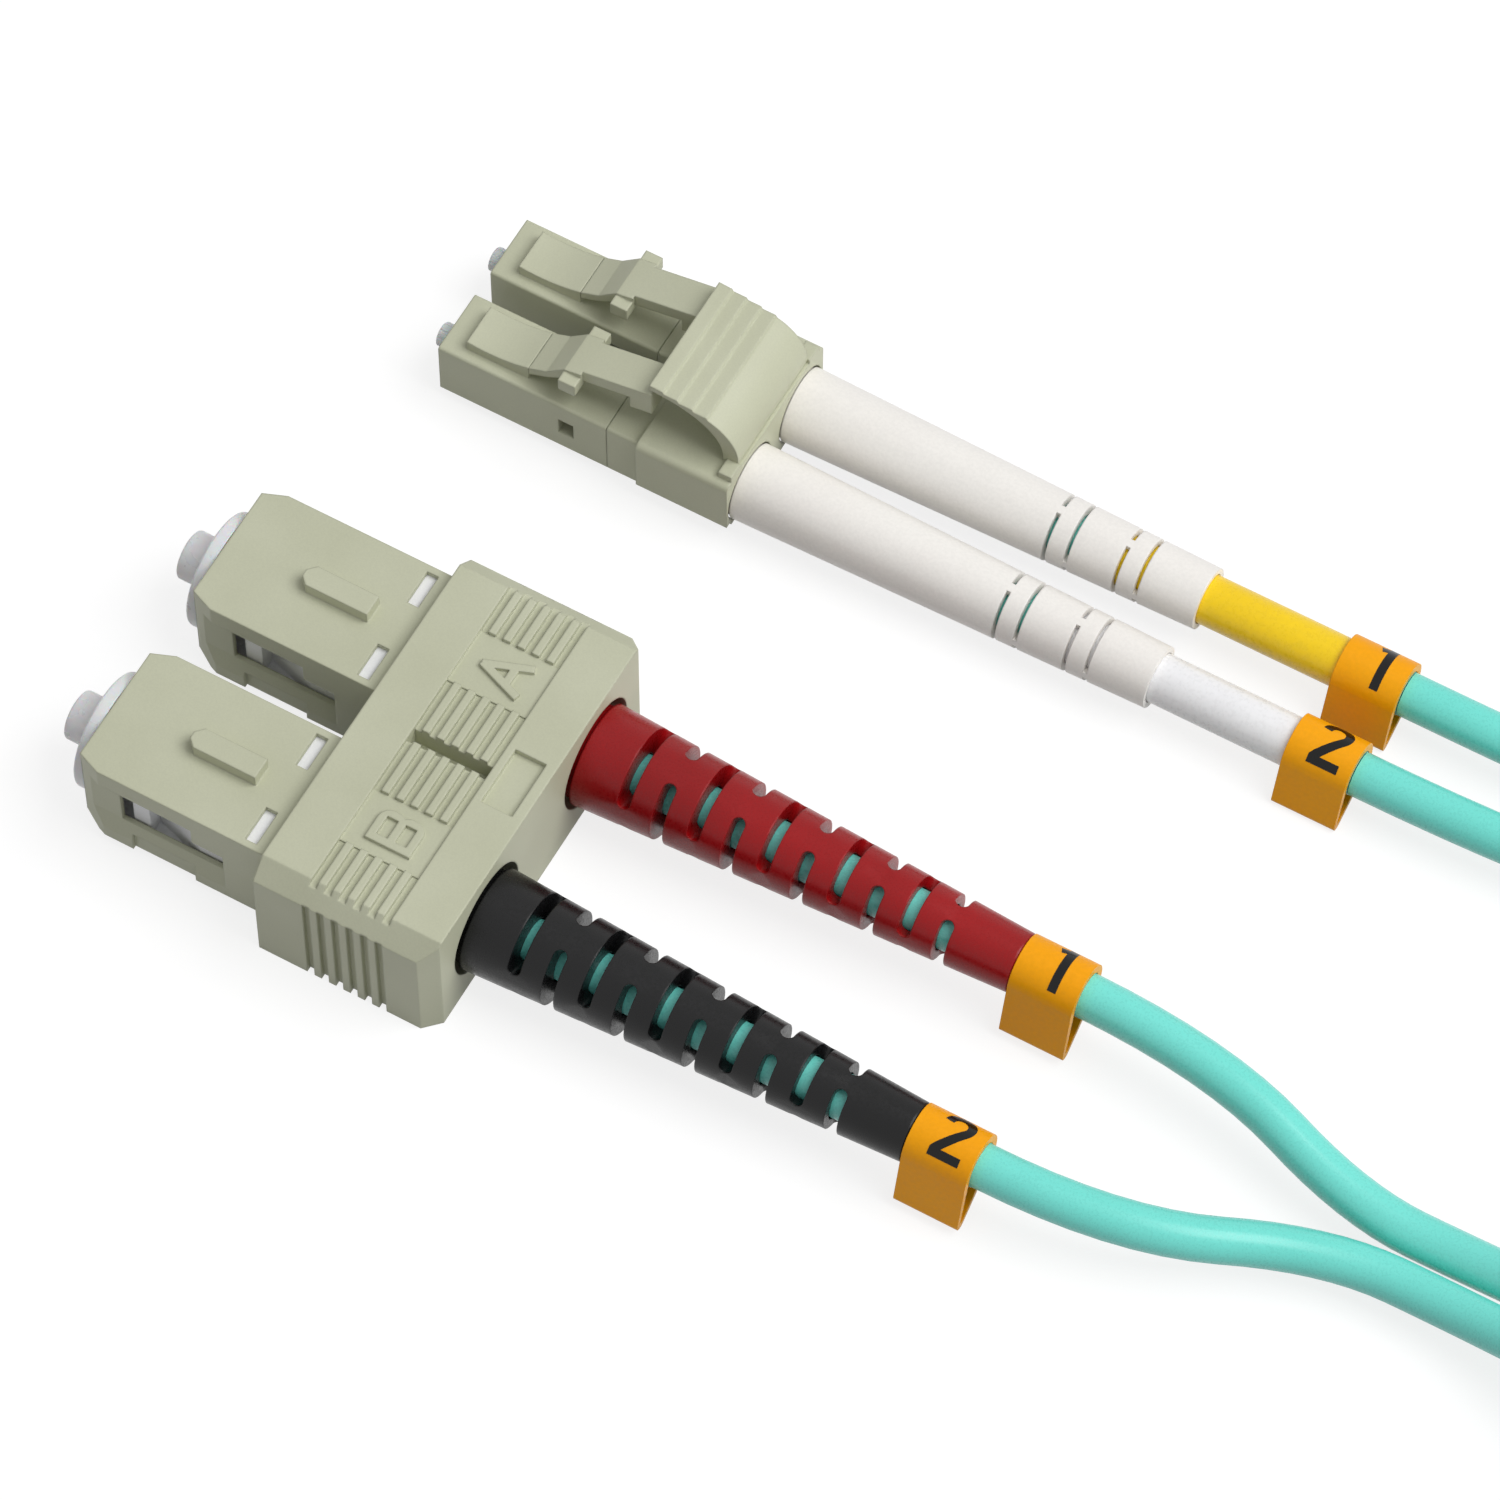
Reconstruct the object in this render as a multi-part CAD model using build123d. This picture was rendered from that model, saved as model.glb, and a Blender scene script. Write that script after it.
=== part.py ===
from build123d import *
from math import cos, pi, radians, sin, sqrt
import os

# Duplex fibre optic patch cable: an SC pair on one end, an LC pair on the other.
# Millimetres. The plugs point to -X, +Z is up, and the origin is the middle of the
# underside of the clip that joins the two SC plugs.

# Cable
jacket_d = 2.8
jacket_gap = 0.1
cable_setback = 0.2

# SC pair: the standard pitch, and the section of one push-pull grip
sc_pitch = 12.7
sc_grip_w = 9.0
sc_grip_side_wall = 0.6
sc_grip_top_wall = 0.6
sc_grip_nose = 13.1
sc_corner_x = 1.5
sc_corner_y = 0.6
sc_chin = 1.0
sc_slide_gap = 0.1
sc_grip_travel = 1.6

# SC key on the top of each grip
sc_key_from_front = 5.35
sc_key_len = 4.7
sc_key_w = 1.45
sc_key_h = 0.9
sc_key_point = 0.5

# SC top windows, where the white frame shows under a thin skin
sc_window_from_front = 11.33
sc_window_len = 0.8
sc_window_w = 2.4
sc_window_mid_y = 2.85
sc_window_skin = 0.35
sc_pad_gap = 0.05

# SC side windows, with the sloped ledge below them
sc_side_from_front = 2.75
sc_side_tall_len = 5.05
sc_side_low_len = 2.1
sc_side_bottom = -1.15
sc_side_top = 2.2
sc_side_low_top = 0.85
sc_side_recess = 0.3
sc_ledge_drop = 1.6
sc_notch_len = 4.3
sc_notch_depth = 0.25
sc_notch_below = 1.0

# SC frame and what it holds
sc_frame_setback = 0.2
sc_frame_len = 18.8
sc_frame_mouth_r = 2.4
sc_frame_mouth_len = 7.0
sc_frame_shoulder = 1.0
sc_frame_bore_r = 2.5
sc_frame_rib = 1.15
sc_frame_pocket = 1.0
sc_ferrule_d = 2.5
sc_ferrule_setback = 0.4
sc_ferrule_len = 10.4
sc_tip_chamfer = 0.2
sc_ferrule_room = 0.2
sc_flange_r = 2.3
sc_flange_len = 2.5
sc_tail_r = 1.5
sc_tail_len = 6.2
sc_fibre_bore_r = 0.5
sc_spring_wire = 0.45
sc_spring_r = 1.95
sc_spring_turns = 4
sc_spring_len = 3.5
ferrule_travel = 0.5
travel_room = 0.1
seat_gap = 0.05
sc_rear_fit = 0.05
sc_rear_bore_r = 1.7
sc_rear_rim_r = 2.9
sc_rear_rim_len = 1.2
sc_post_r = 2.0
sc_post_len = 4.3
sc_post_bore_r = 1.2
sc_ring_wall = 0.45
sc_ring_over_cable = 2.8

# SC boot
sc_boot_neck_r = 3.0
sc_boot_root_r = 3.3
sc_boot_end_r = 1.9
sc_boot_len = 28.5
sc_boot_gap = 0.1
sc_boot_ring_gap = 0.15
sc_boot_ring_room = 0.2
sc_slot_first = 3.4
sc_slot_pitch = 4.57
sc_slot_count = 5
sc_slot_w = 0.85
sc_slot_half_angle = 63

# SC dust cap
sc_cap_flange_r = 3.75
sc_cap_flange_t = 0.85
sc_cap_knob_r = 1.6
sc_cap_knob_len = 2.0
sc_cap_tube_r = 2.1
sc_cap_tube_len = 5.6
sc_cap_round = 0.2
sc_cap_end_wall = 0.5
sc_cap_ferrule_gap = 0.06
sc_cap_travel = 12.0

# SC clip
sc_clip_w = 25.0
sc_clip_len = 12.0
sc_clip_h = 9.2
sc_clip_roof = 0.95
sc_clip_floor = 0.75
sc_clip_bevel = 1.25
sc_clip_rear_corner = 1.0
sc_clip_rear_wall = 1.6
sc_clip_fit = 0.05
sc_clip_hole_r = 3.65
sc_band_from_front = 3.3
sc_groove_w = 0.49
sc_groove_count = 6
sc_groove_depth = 0.35
sc_panel_from = 4.2
sc_panel_to = 8.1
sc_panel_depth = 0.25
sc_mid_slot_w = 0.9
sc_mid_slot_depth = 1.8
sc_recess_from_front = 9.2
sc_recess_len = 2.1
sc_recess_w = 4.0
sc_recess_depth = 0.4
letter_h = 3.0
letter_w = 2.3
letter_stroke = 0.5

# LC pair: the standard pitch, and the section of one plug
lc_pitch = 6.25
lc_mid_y = 31.15
lc_front_x = -16.2
lc_body = 4.5
lc_floor_gap = 0.8
lc_housing_len = 11.7
lc_edge = 0.2
lc_mouth_r = 1.05
lc_mouth_len = 3.6
lc_shoulder = 1.2
lc_throat_r = 0.8
lc_bore_r = 1.55
lc_window_from_front = 8.35
lc_window_len = 1.05
lc_window_h = 1.4
lc_seam = 0.04

# LC latch: block moulded on the housing, then the free arm
lc_latch_w = 2.9
lc_block_from_front = 1.55
lc_block_h = 0.8
lc_arm_root_x = 5.9
lc_arm_root_z = 0.55
lc_arm_root_t = 0.6
lc_arm_split = 0.03
lc_arm_step_x = 8.4
lc_arm_step_z = 2.95
lc_arm_tip_x = 14.3
lc_arm_tip_z = 4.25
lc_arm_t = 0.95
lc_tail_w = 2.4
lc_tail_knob_len = 1.5
lc_tail_knob_h = 2.0
lc_ear_len = 1.15
lc_ear_h = 1.0
lc_ear_w = 0.75
lc_ear_drop = 0.1
lc_latch_travel = 5.85

# LC ferrule and what carries it
lc_ferrule_d = 1.25
lc_ferrule_out = 0.7
lc_ferrule_len = 6.7
lc_tip_chamfer = 0.1
lc_flange_r = 1.4
lc_flange_len = 2.15
lc_tail_r = 0.8
lc_tail_len = 3.2
lc_fibre_bore_r = 0.3
lc_spring_wire = 0.28
lc_spring_r = 1.12
lc_spring_turns = 4
lc_spring_len = 2.1

# LC rear body
lc_rear_show = 2.3
lc_rear_hidden = 3.4
lc_nose_fit = 0.08
lc_rear_bore_r = 0.95
lc_post_r = 1.4
lc_post_len = 2.7
lc_post_bore_r = 0.8
lc_foot_inset = 0.15
lc_foot_len = 2.0
lc_foot_w = 3.4
lc_sleeve_wall = 0.4
lc_sleeve_len = 5.6
lc_boot_ring_gap = 0.1
lc_boot_ring_room = 0.2

# LC boot
lc_boot_root_r = 2.5
lc_boot_end_r = 2.0
lc_boot_len = 27.9
lc_boot_neck_r = 2.35
lc_boot_neck_len = 2.2
lc_slit_w = 0.28
lc_slit_bridge_angle = 16
lc_slit_pitch = 1.43
lc_slit_pair_pitch = 4.7
lc_slit_from_end = 3.9

# LC dust cap
lc_cap_r = 0.8
lc_cap_wall = 0.15
lc_cap_end = 0.45
lc_cap_len = 4.1
lc_cap_flutes = 10
lc_cap_flute_r = 0.08
lc_cap_travel = 6.0

# LC clip and trigger
lc_clip_wall = 0.55
lc_clip_len = 6.3
lc_clip_roof = 0.65
lc_clip_bottom = 1.6
lc_clip_fit = 0.05
lc_clip_round = 0.5
lc_clip_hole_r = 2.6
lc_flange_plate_t = 0.9
lc_flange_plate_w = 10.7
lc_flange_plate_top = 6.45
lc_flange_plate_bottom = 1.2
trigger_w = 8.45
trigger_root_t = 1.0
trigger_root_z = 6.1
trigger_root_inset = 0.2
trigger_lip_t = 0.5
trigger_lip_x = 14.1
trigger_lip_z = 10.4
trigger_tread = 1.0
trigger_step = 0.2
trigger_treads = 4
trigger_split = 0.03
trigger_travel = 9.0

# Colour sleeves and number tags
sleeve_wall = 0.155
sleeve_len = 9.1
sleeve_in_boot = 6.6
tag_len = 4.2
tag_wall = 0.5
tag_tip_y = -2.25
tag_tip_r = 0.45
sc_tag_tip_z = -3.5

# Free cable: the straight length behind each tag
leg_gap = 0.06
lc_leg_straight = 12.6
sc_leg_straight = 8.8

# Cable coil: two layers of one flat spiral, wound clockwise seen from above
coil_x = 108.8
coil_y = 13.2
coil_r_out = 31.2
coil_lift = 0.5
coil_pitch = 2.85
coil_start_deg = 112.0
coil_end_deg = -106.0
coil_full_turns = 4
coil_round = 1.2
tie_w = 6.0
tie_t = 0.4
tie_room = 0.15

# Values that follow from the sizes above
cut = 1.0
jacket_r = jacket_d / 2
bore_r = jacket_r + jacket_gap
sleeve_r = jacket_r + seat_gap / 2 + sleeve_wall
sc_y = {1: sc_pitch / 2, 2: -sc_pitch / 2}
lc_y = {1: lc_mid_y + lc_pitch / 2, 2: lc_mid_y - lc_pitch / 2}
lc_axis_z = lc_floor_gap + lc_body / 2
lc_top = lc_floor_gap + lc_body

sc_grip_h = sc_clip_h - sc_clip_roof - sc_clip_floor - 2 * sc_clip_fit
sc_axis_z = sc_clip_floor + sc_clip_fit + sc_grip_h / 2
sc_clip_x0 = -sc_clip_len / 2
sc_clip_x1 = sc_clip_len / 2
sc_front_x = sc_clip_x0 - sc_grip_nose
sc_clip_pocket_x = sc_clip_x1 - sc_clip_rear_wall
sc_grip_x1 = sc_clip_pocket_x - sc_clip_fit
sc_grip_z0 = sc_axis_z - sc_grip_h / 2
sc_grip_top = sc_axis_z + sc_grip_h / 2
sc_cavity_w = sc_grip_w - 2 * sc_grip_side_wall
sc_cavity_h = sc_grip_h - 2 * sc_grip_top_wall
sc_frame_w = sc_cavity_w - 2 * sc_slide_gap
sc_frame_h = sc_cavity_h - 2 * sc_slide_gap
sc_frame_x0 = sc_front_x + sc_frame_setback
sc_frame_x1 = sc_frame_x0 + sc_frame_len
sc_shoulder_x = sc_frame_x0 + sc_frame_mouth_len
sc_flange_x = sc_shoulder_x + sc_frame_shoulder + seat_gap
sc_ferrule_r = sc_ferrule_d / 2
sc_spring_x = sc_flange_x + sc_flange_len
sc_rear_x0 = sc_spring_x + sc_spring_len + sc_spring_wire + ferrule_travel + travel_room
sc_post_x0 = sc_frame_x1 + sc_rear_rim_len
sc_post_x1 = sc_post_x0 + sc_post_len
sc_cable_x0 = sc_post_x1 + cable_setback
sc_boot_x0 = sc_clip_x1 + sc_boot_gap
sc_boot_x1 = sc_boot_x0 + sc_boot_len
sc_tag_x1 = sc_boot_x1 + tag_len

lc_ferrule_r = lc_ferrule_d / 2
lc_housing_x1 = lc_front_x + lc_housing_len
lc_flange_x = lc_front_x + lc_mouth_len + lc_shoulder + seat_gap
lc_spring_x = lc_flange_x + lc_flange_len
lc_nose_x0 = lc_spring_x + lc_spring_len + lc_spring_wire + ferrule_travel + travel_room
lc_rear_x0 = lc_housing_x1 + lc_seam
lc_clip_x0 = lc_rear_x0 + lc_rear_show
lc_rear_x1 = lc_clip_x0 + lc_rear_hidden
lc_clip_x1 = lc_clip_x0 + lc_clip_len
lc_post_x1 = lc_rear_x1 + lc_post_len
lc_cable_x0 = lc_post_x1 + cable_setback
lc_boot_x1 = lc_clip_x1 + lc_boot_len
lc_sleeve_x0 = lc_boot_x1 - sleeve_in_boot
lc_sleeve_x1 = lc_boot_x1 + sleeve_len
lc_tag_x1 = lc_sleeve_x1 + tag_len
lc_clip_half = lc_pitch / 2 + lc_body / 2 + lc_clip_wall
lc_clip_top = lc_top + lc_clip_roof

coil_sweep = coil_start_deg - coil_end_deg + 360 * coil_full_turns
coil_r_in = coil_r_out - coil_pitch * coil_sweep / 360

# Free cable: points of each route, chosen by hand, from a tag to the coil
lc_leg_1 = [
    (lc_tag_x1 + leg_gap, lc_y[1], lc_axis_z),
    (lc_tag_x1 + lc_leg_straight, lc_y[1], lc_axis_z),
    (72.0, 35.1, 2.4),
    (85.2, 37.9, 1.9),
    (97.11, 42.13, 1.9),
]
lc_leg_2 = [
    (lc_tag_x1 + leg_gap, lc_y[2], lc_axis_z),
    (lc_tag_x1 + lc_leg_straight, lc_y[2], lc_axis_z),
    (71.0, 30.2, 3.6),
    (84.6, 35.7, 4.7),
    (97.11, 42.13, 4.85),
]
sc_leg_1 = [
    (sc_tag_x1, sc_y[1], sc_axis_z),
    (sc_tag_x1 + sc_leg_straight, sc_y[1], sc_axis_z),
    (58.2, 2.8, 2.6),
    (66.5, 2.9, 2.6),
    (75.0, 1.6, 5.9),
    (84.0, -0.6, 7.8),
    (93.6, -3.2, 7.85),
    (102.55, -4.95, 7.0),
    (113.01, -5.02, 4.0),
    (121.92, 0.08, 1.9),
]
sc_leg_2 = [
    (sc_tag_x1, sc_y[2], sc_axis_z),
    (sc_tag_x1 + sc_leg_straight, sc_y[2], sc_axis_z),
    (58.2, -0.4, 2.6),
    (67.0, -0.25, 2.6),
    (75.5, -1.9, 5.9),
    (84.5, -4.6, 7.8),
    (94.0, -7.3, 7.85),
    (102.8, -9.6, 7.9),
    (112.0, -9.0, 7.9),
    (119.6, -4.2, 7.7),
    (124.6, 2.2, 6.1),
    (127.27, 8.6, 4.85),
]


def block(x0, x1, y0, y1, z0, z1):
    """A box between two corners."""
    middle = Pos((x0 + x1) / 2, (y0 + y1) / 2, (z0 + z1) / 2)
    return middle * Box(x1 - x0, y1 - y0, z1 - z0)


def bar(x0, x1, y, z, width, height):
    """A rectangular bar along X, centred on y and z."""
    return block(x0, x1, y - width / 2, y + width / 2, z - height / 2, z + height / 2)


def rod(x0, x1, y, z, radius):
    """A round bar along X."""
    return Pos((x0 + x1) / 2, y, z) * Rot(0, 90, 0) * Cylinder(radius, x1 - x0)


def taper(x0, x1, y, z, radius_0, radius_1):
    """A round bar along X that narrows from radius_0 to radius_1."""
    return Pos((x0 + x1) / 2, y, z) * Rot(0, 90, 0) * Cone(radius_0, radius_1, x1 - x0)


def side_plate(points, y, width):
    """A plate across Y whose outline is given as X and Z."""
    outline = make_face(Polyline(*points, close=True))
    return Pos(0, y, 0) * extrude(Plane.XZ * outline, amount=width / 2, both=True)


def cross_plate(points, x0, x1):
    """A plate across X whose outline is given as Y and Z."""
    outline = make_face(Polyline(*points, close=True))
    return Pos(x0, 0, 0) * extrude(Plane.YZ * outline, amount=x1 - x0)


def flat_plate(points, z0, z1):
    """A level plate whose outline is given as X and Y."""
    outline = make_face(Polyline(*points, close=True))
    return Pos(0, 0, z0) * extrude(outline, amount=z1 - z0)


def coil_spring(x0, y, z, radius, wire, length, turns):
    """A round-wire spring along X, its first turn starting at x0."""
    path = Helix(pitch=length / turns, height=length, radius=radius)
    start = Plane(origin=path @ 0, z_dir=path % 0)
    wound = sweep(start * Circle(wire / 2), path=path, is_frenet=True)
    return Pos(x0 + wire / 2, y, z) * Rot(0, 90, 0) * wound


# SC plug


def sc_grip(y):
    """Push-pull grip: a square sleeve with a key, windows and a sloped ledge."""
    w = sc_grip_w / 2
    x0, x1 = sc_front_x, sc_grip_x1
    outline = [
        (x0, y - w + sc_corner_y),
        (x0 + sc_corner_x, y - w),
        (x1, y - w),
        (x1, y + w),
        (x0 + sc_corner_x, y + w),
        (x0, y + w - sc_corner_y),
    ]
    body = flat_plate(outline, sc_grip_z0, sc_grip_top)
    chin = [
        (x0 - cut, sc_grip_z0 - cut),
        (x0 + sc_chin, sc_grip_z0 - cut),
        (x0 + sc_chin, sc_grip_z0),
        (x0, sc_grip_z0 + sc_chin),
        (x0 - cut, sc_grip_z0 + sc_chin),
    ]
    body -= side_plate(chin, y, sc_grip_w + cut)
    body -= bar(x0 - cut, x1 + cut, y, sc_axis_z, sc_cavity_w, sc_cavity_h)
    key_x = x0 + sc_key_from_front
    k = sc_key_w / 2
    key = [
        (key_x, y - k + sc_key_point),
        (key_x + sc_key_point, y - k),
        (key_x + sc_key_len, y - k),
        (key_x + sc_key_len, y + k),
        (key_x + sc_key_point, y + k),
        (key_x, y + k - sc_key_point),
    ]
    body += flat_plate(key, sc_grip_top, sc_grip_top + sc_key_h)
    for side in (-1, 1):
        body -= sc_top_window(y, side)
        body -= sc_side_window(y, side)
    return body


def sc_pad_span():
    """Start and end of the white pad, long enough to fill its window as the grip slides."""
    start = sc_front_x + sc_window_from_front - sc_slide_gap
    end = sc_front_x + sc_window_from_front + sc_window_len + sc_grip_travel + sc_slide_gap
    return start, end


def sc_top_window(y, side):
    """Window in the grip's top, with a pocket under the skin for the sliding pad."""
    y_mid = y + side * sc_window_mid_y
    x0 = sc_front_x + sc_window_from_front
    skin = sc_grip_top - sc_window_skin
    hole = bar(x0, x0 + sc_window_len, y_mid, sc_grip_top, sc_window_w, 2 * sc_window_skin)
    pad_x0, pad_x1 = sc_pad_span()
    y_in = y_mid - sc_window_w / 2 - 2 * sc_slide_gap
    y_out = y_mid + sc_window_w / 2 + 2 * sc_slide_gap
    pocket = block(pad_x0 - sc_grip_travel - sc_slide_gap, pad_x1 + sc_slide_gap,
                   y_in, y_out, sc_axis_z, skin)
    pocket &= block(sc_front_x, sc_grip_x1, y_in, y_out, sc_axis_z + sc_cavity_h / 2, skin)
    return hole + pocket


def sc_side_window(y, side):
    """Side window in a shallow recess, with a sloped ledge and a notch below it."""
    face = y + side * sc_grip_w / 2
    floor = face - side * sc_side_recess
    inside = y + side * sc_cavity_w / 2 - side * cut
    x0 = sc_front_x + sc_side_from_front
    x_step = x0 + sc_side_tall_len
    x_end = x_step + sc_side_low_len
    z0 = sc_axis_z + sc_side_bottom
    z1 = sc_axis_z + sc_side_top
    z_low = sc_axis_z + sc_side_low_top
    z_ledge = z0 - sc_ledge_drop
    y0, y1 = sorted((inside, face + side * cut))
    removed = block(x0, x_step, y0, y1, z0, z1)
    removed += block(x_step, x_end, y0, y1, z0, z_low)
    out = face + side * cut
    recess = [(out, z_ledge), (face, z_ledge), (floor, z0), (floor, z1), (face, z1), (out, z1)]
    removed += cross_plate(recess, sc_front_x - cut, x_step)
    ledge = [(out, z_ledge), (face, z_ledge), (floor, z0), (floor, z_low), (out, z_low)]
    removed += cross_plate(ledge, x_step - cut, x_end)
    notch_y0, notch_y1 = sorted((face - side * sc_notch_depth, out))
    removed += block(x_step - sc_notch_len, x_step, notch_y0, notch_y1, z_ledge - cut, z0 - sc_notch_below)
    return removed


def sc_inner_frame(y):
    """White frame that holds the ferrule, with pads in the windows and hooks at the sides."""
    body = bar(sc_frame_x0, sc_frame_x1, y, sc_axis_z, sc_frame_w, sc_frame_h)
    pad_x0, pad_x1 = sc_pad_span()
    pad_top = sc_grip_top - sc_window_skin - sc_pad_gap
    for side in (-1, 1):
        y_mid = y + side * sc_window_mid_y
        body += block(pad_x0, pad_x1, y_mid - sc_window_w / 2 - sc_slide_gap,
                      y_mid + sc_window_w / 2 + sc_slide_gap,
                      sc_axis_z + sc_cavity_h / 2 + sc_slide_gap / 2, pad_top)
        y_low = y_mid - sc_window_w / 2 - sc_slide_gap
        y_high = y_mid + sc_window_w / 2 + sc_slide_gap
        wall = y + side * sc_frame_w / 2
        y0, y1 = (y_low, wall) if side > 0 else (wall, y_high)
        body += block(pad_x0, pad_x1, y0, y1, sc_axis_z, pad_top)
        body -= sc_frame_side(y, side)
    body -= rod(sc_frame_x0 - cut, sc_shoulder_x, y, sc_axis_z, sc_frame_mouth_r)
    body -= rod(sc_frame_x0, sc_frame_x1 + cut, y, sc_axis_z, sc_ferrule_r + sc_ferrule_room)
    body -= rod(sc_shoulder_x + sc_frame_shoulder, sc_frame_x1 + cut, y, sc_axis_z, sc_frame_bore_r)
    return body


def sc_frame_side(y, side):
    """Pockets before and behind the hook rib on one side of the frame."""
    wall = y + side * sc_frame_w / 2
    floor = wall - side * sc_frame_pocket
    out = wall + side * cut
    x0 = sc_front_x + sc_side_from_front - sc_grip_travel
    rib_x0 = sc_front_x + sc_side_from_front + sc_frame_rib / 2
    rib_x1 = rib_x0 + sc_frame_rib
    x_pad = sc_front_x + sc_side_from_front + sc_side_tall_len
    z0 = sc_axis_z + sc_side_bottom - cut
    z1 = sc_axis_z + sc_side_top
    y0, y1 = sorted((floor, out))
    front = block(x0, rib_x0, y0, y1, z0, z1)
    behind = [(rib_x1, floor), (x_pad, wall), (x_pad, out), (rib_x1, out)]
    return front + flat_plate(behind, z0, z1)


def sc_ferrule(y):
    """Zirconia ferrule with a chamfered tip and the fibre hole through it."""
    x0 = sc_front_x + sc_ferrule_setback
    body = rod(x0, x0 + sc_ferrule_len, y, sc_axis_z, sc_ferrule_r)
    tip = body.edges().filter_by(GeomType.CIRCLE).sort_by(Axis.X)[0]
    body = chamfer(tip, sc_tip_chamfer)
    return body


def sc_ferrule_flange(y):
    """Metal flange pressed on the ferrule, with the tube that the spring goes round."""
    x0 = sc_flange_x
    ferrule_end = sc_front_x + sc_ferrule_setback + sc_ferrule_len
    body = rod(x0, x0 + sc_flange_len, y, sc_axis_z, sc_flange_r)
    body += rod(x0, x0 + sc_flange_len + sc_tail_len, y, sc_axis_z, sc_tail_r)
    body -= rod(x0 - cut, ferrule_end + seat_gap, y, sc_axis_z, sc_ferrule_r)
    body -= rod(x0, x0 + sc_flange_len + sc_tail_len + cut, y, sc_axis_z, sc_fibre_bore_r)
    return body


def sc_spring(y):
    return coil_spring(sc_spring_x, y, sc_axis_z, sc_spring_r, sc_spring_wire,
                       sc_spring_len, sc_spring_turns)


def sc_rear_body(y):
    """Body screwed into the back of the frame, with a post for the crimp ring."""
    body = rod(sc_rear_x0, sc_post_x0, y, sc_axis_z, sc_frame_bore_r - sc_rear_fit)
    body += rod(sc_frame_x1, sc_post_x0, y, sc_axis_z, sc_rear_rim_r)
    body += rod(sc_post_x0, sc_post_x1, y, sc_axis_z, sc_post_r)
    tail_end = sc_flange_x + sc_flange_len + sc_tail_len + ferrule_travel + travel_room
    body -= rod(sc_rear_x0 - cut, tail_end, y, sc_axis_z, sc_rear_bore_r)
    body -= rod(sc_rear_x0, sc_post_x1 + cut, y, sc_axis_z, sc_post_bore_r)
    return body


def sc_crimp_ring(y):
    """Stepped ring, wide over the post and narrow over the jacket."""
    wide_in = sc_post_r + seat_gap
    narrow_in = jacket_r + seat_gap
    x0 = sc_post_x0 + seat_gap
    x_step = sc_cable_x0 + seat_gap
    x1 = x_step + sc_ring_over_cable
    body = rod(x0, x_step, y, sc_axis_z, wide_in + sc_ring_wall)
    body += rod(x_step, x1, y, sc_axis_z, narrow_in + sc_ring_wall)
    body -= rod(x0 - cut, sc_post_x1 + seat_gap, y, sc_axis_z, wide_in)
    body -= rod(x0, x1 + cut, y, sc_axis_z, narrow_in)
    return body


def sc_boot(y):
    """Bend relief: a taper with four rows of slots, pushed over the crimp ring."""
    z = sc_axis_z
    body = taper(sc_boot_x0, sc_boot_x1, y, z, sc_boot_root_r, sc_boot_end_r)
    body += rod(sc_post_x0, sc_boot_x0 + seat_gap, y, z, sc_boot_neck_r)
    rims = body.edges().filter_by(GeomType.CIRCLE).sort_by(Axis.X)
    body = fillet(rims[-1], (sc_boot_end_r - bore_r) / 2)
    ring_end = sc_cable_x0 + sc_ring_over_cable + sc_boot_ring_room
    ring_r = sc_post_r + sc_ring_wall + sc_boot_ring_gap
    body -= rod(sc_post_x0 - cut, ring_end, y, z, ring_r)
    body -= rod(sc_post_x0, sc_boot_x1 + cut, y, z, bore_r)
    for i in range(sc_slot_count):
        upright = sc_boot_x0 + sc_slot_first + i * sc_slot_pitch
        body -= boot_slot(upright, y, z, 90)
        body -= boot_slot(upright, y, z, -90)
        body -= boot_slot(upright + sc_slot_pitch / 2, y, z, 0)
        body -= boot_slot(upright + sc_slot_pitch / 2, y, z, 180)
    return body


def boot_slot(x, y, z, direction):
    """A slot with round ends across the wall of a boot, centred on a direction round its axis."""
    reach = 2 * sc_boot_root_r
    half = radians(sc_slot_half_angle)
    side, rise = reach * sin(half), reach * cos(half)
    wedge = [(0, 0), (side, rise), (side, reach), (-side, reach), (-side, rise)]
    slot = extrude(Plane.YZ * make_face(Polyline(*wedge, close=True)), amount=sc_slot_w / 2, both=True)
    round_end = Pos(0, 0, reach / 2) * Cylinder(sc_slot_w / 2, reach)
    for end in (-1, 1):
        slot += Rot(end * sc_slot_half_angle, 0, 0) * round_end
    return Pos(x, y, z) * Rot(direction - 90, 0, 0) * slot


def sc_dust_cap(y):
    """Soft cap: a tube over the ferrule, a round flange and a small knob."""
    z = sc_axis_z
    flange_x1 = sc_front_x - seat_gap
    flange_x0 = flange_x1 - sc_cap_flange_t
    knob_x0 = flange_x0 - sc_cap_knob_len
    body = rod(flange_x0, flange_x1, y, z, sc_cap_flange_r)
    body += rod(knob_x0, flange_x0, y, z, sc_cap_knob_r)
    body += rod(flange_x1, flange_x1 + sc_cap_tube_len, y, z, sc_cap_tube_r)
    rims = body.edges().filter_by(GeomType.CIRCLE).group_by(Axis.X)
    body = fillet(rims[0] + rims[1], sc_cap_round)
    hole_x0 = flange_x0 + sc_cap_end_wall
    hole_r = sc_ferrule_r + sc_cap_ferrule_gap
    body -= rod(hole_x0, flange_x1 + sc_cap_tube_len + cut, y, z, hole_r)
    return body


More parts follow.
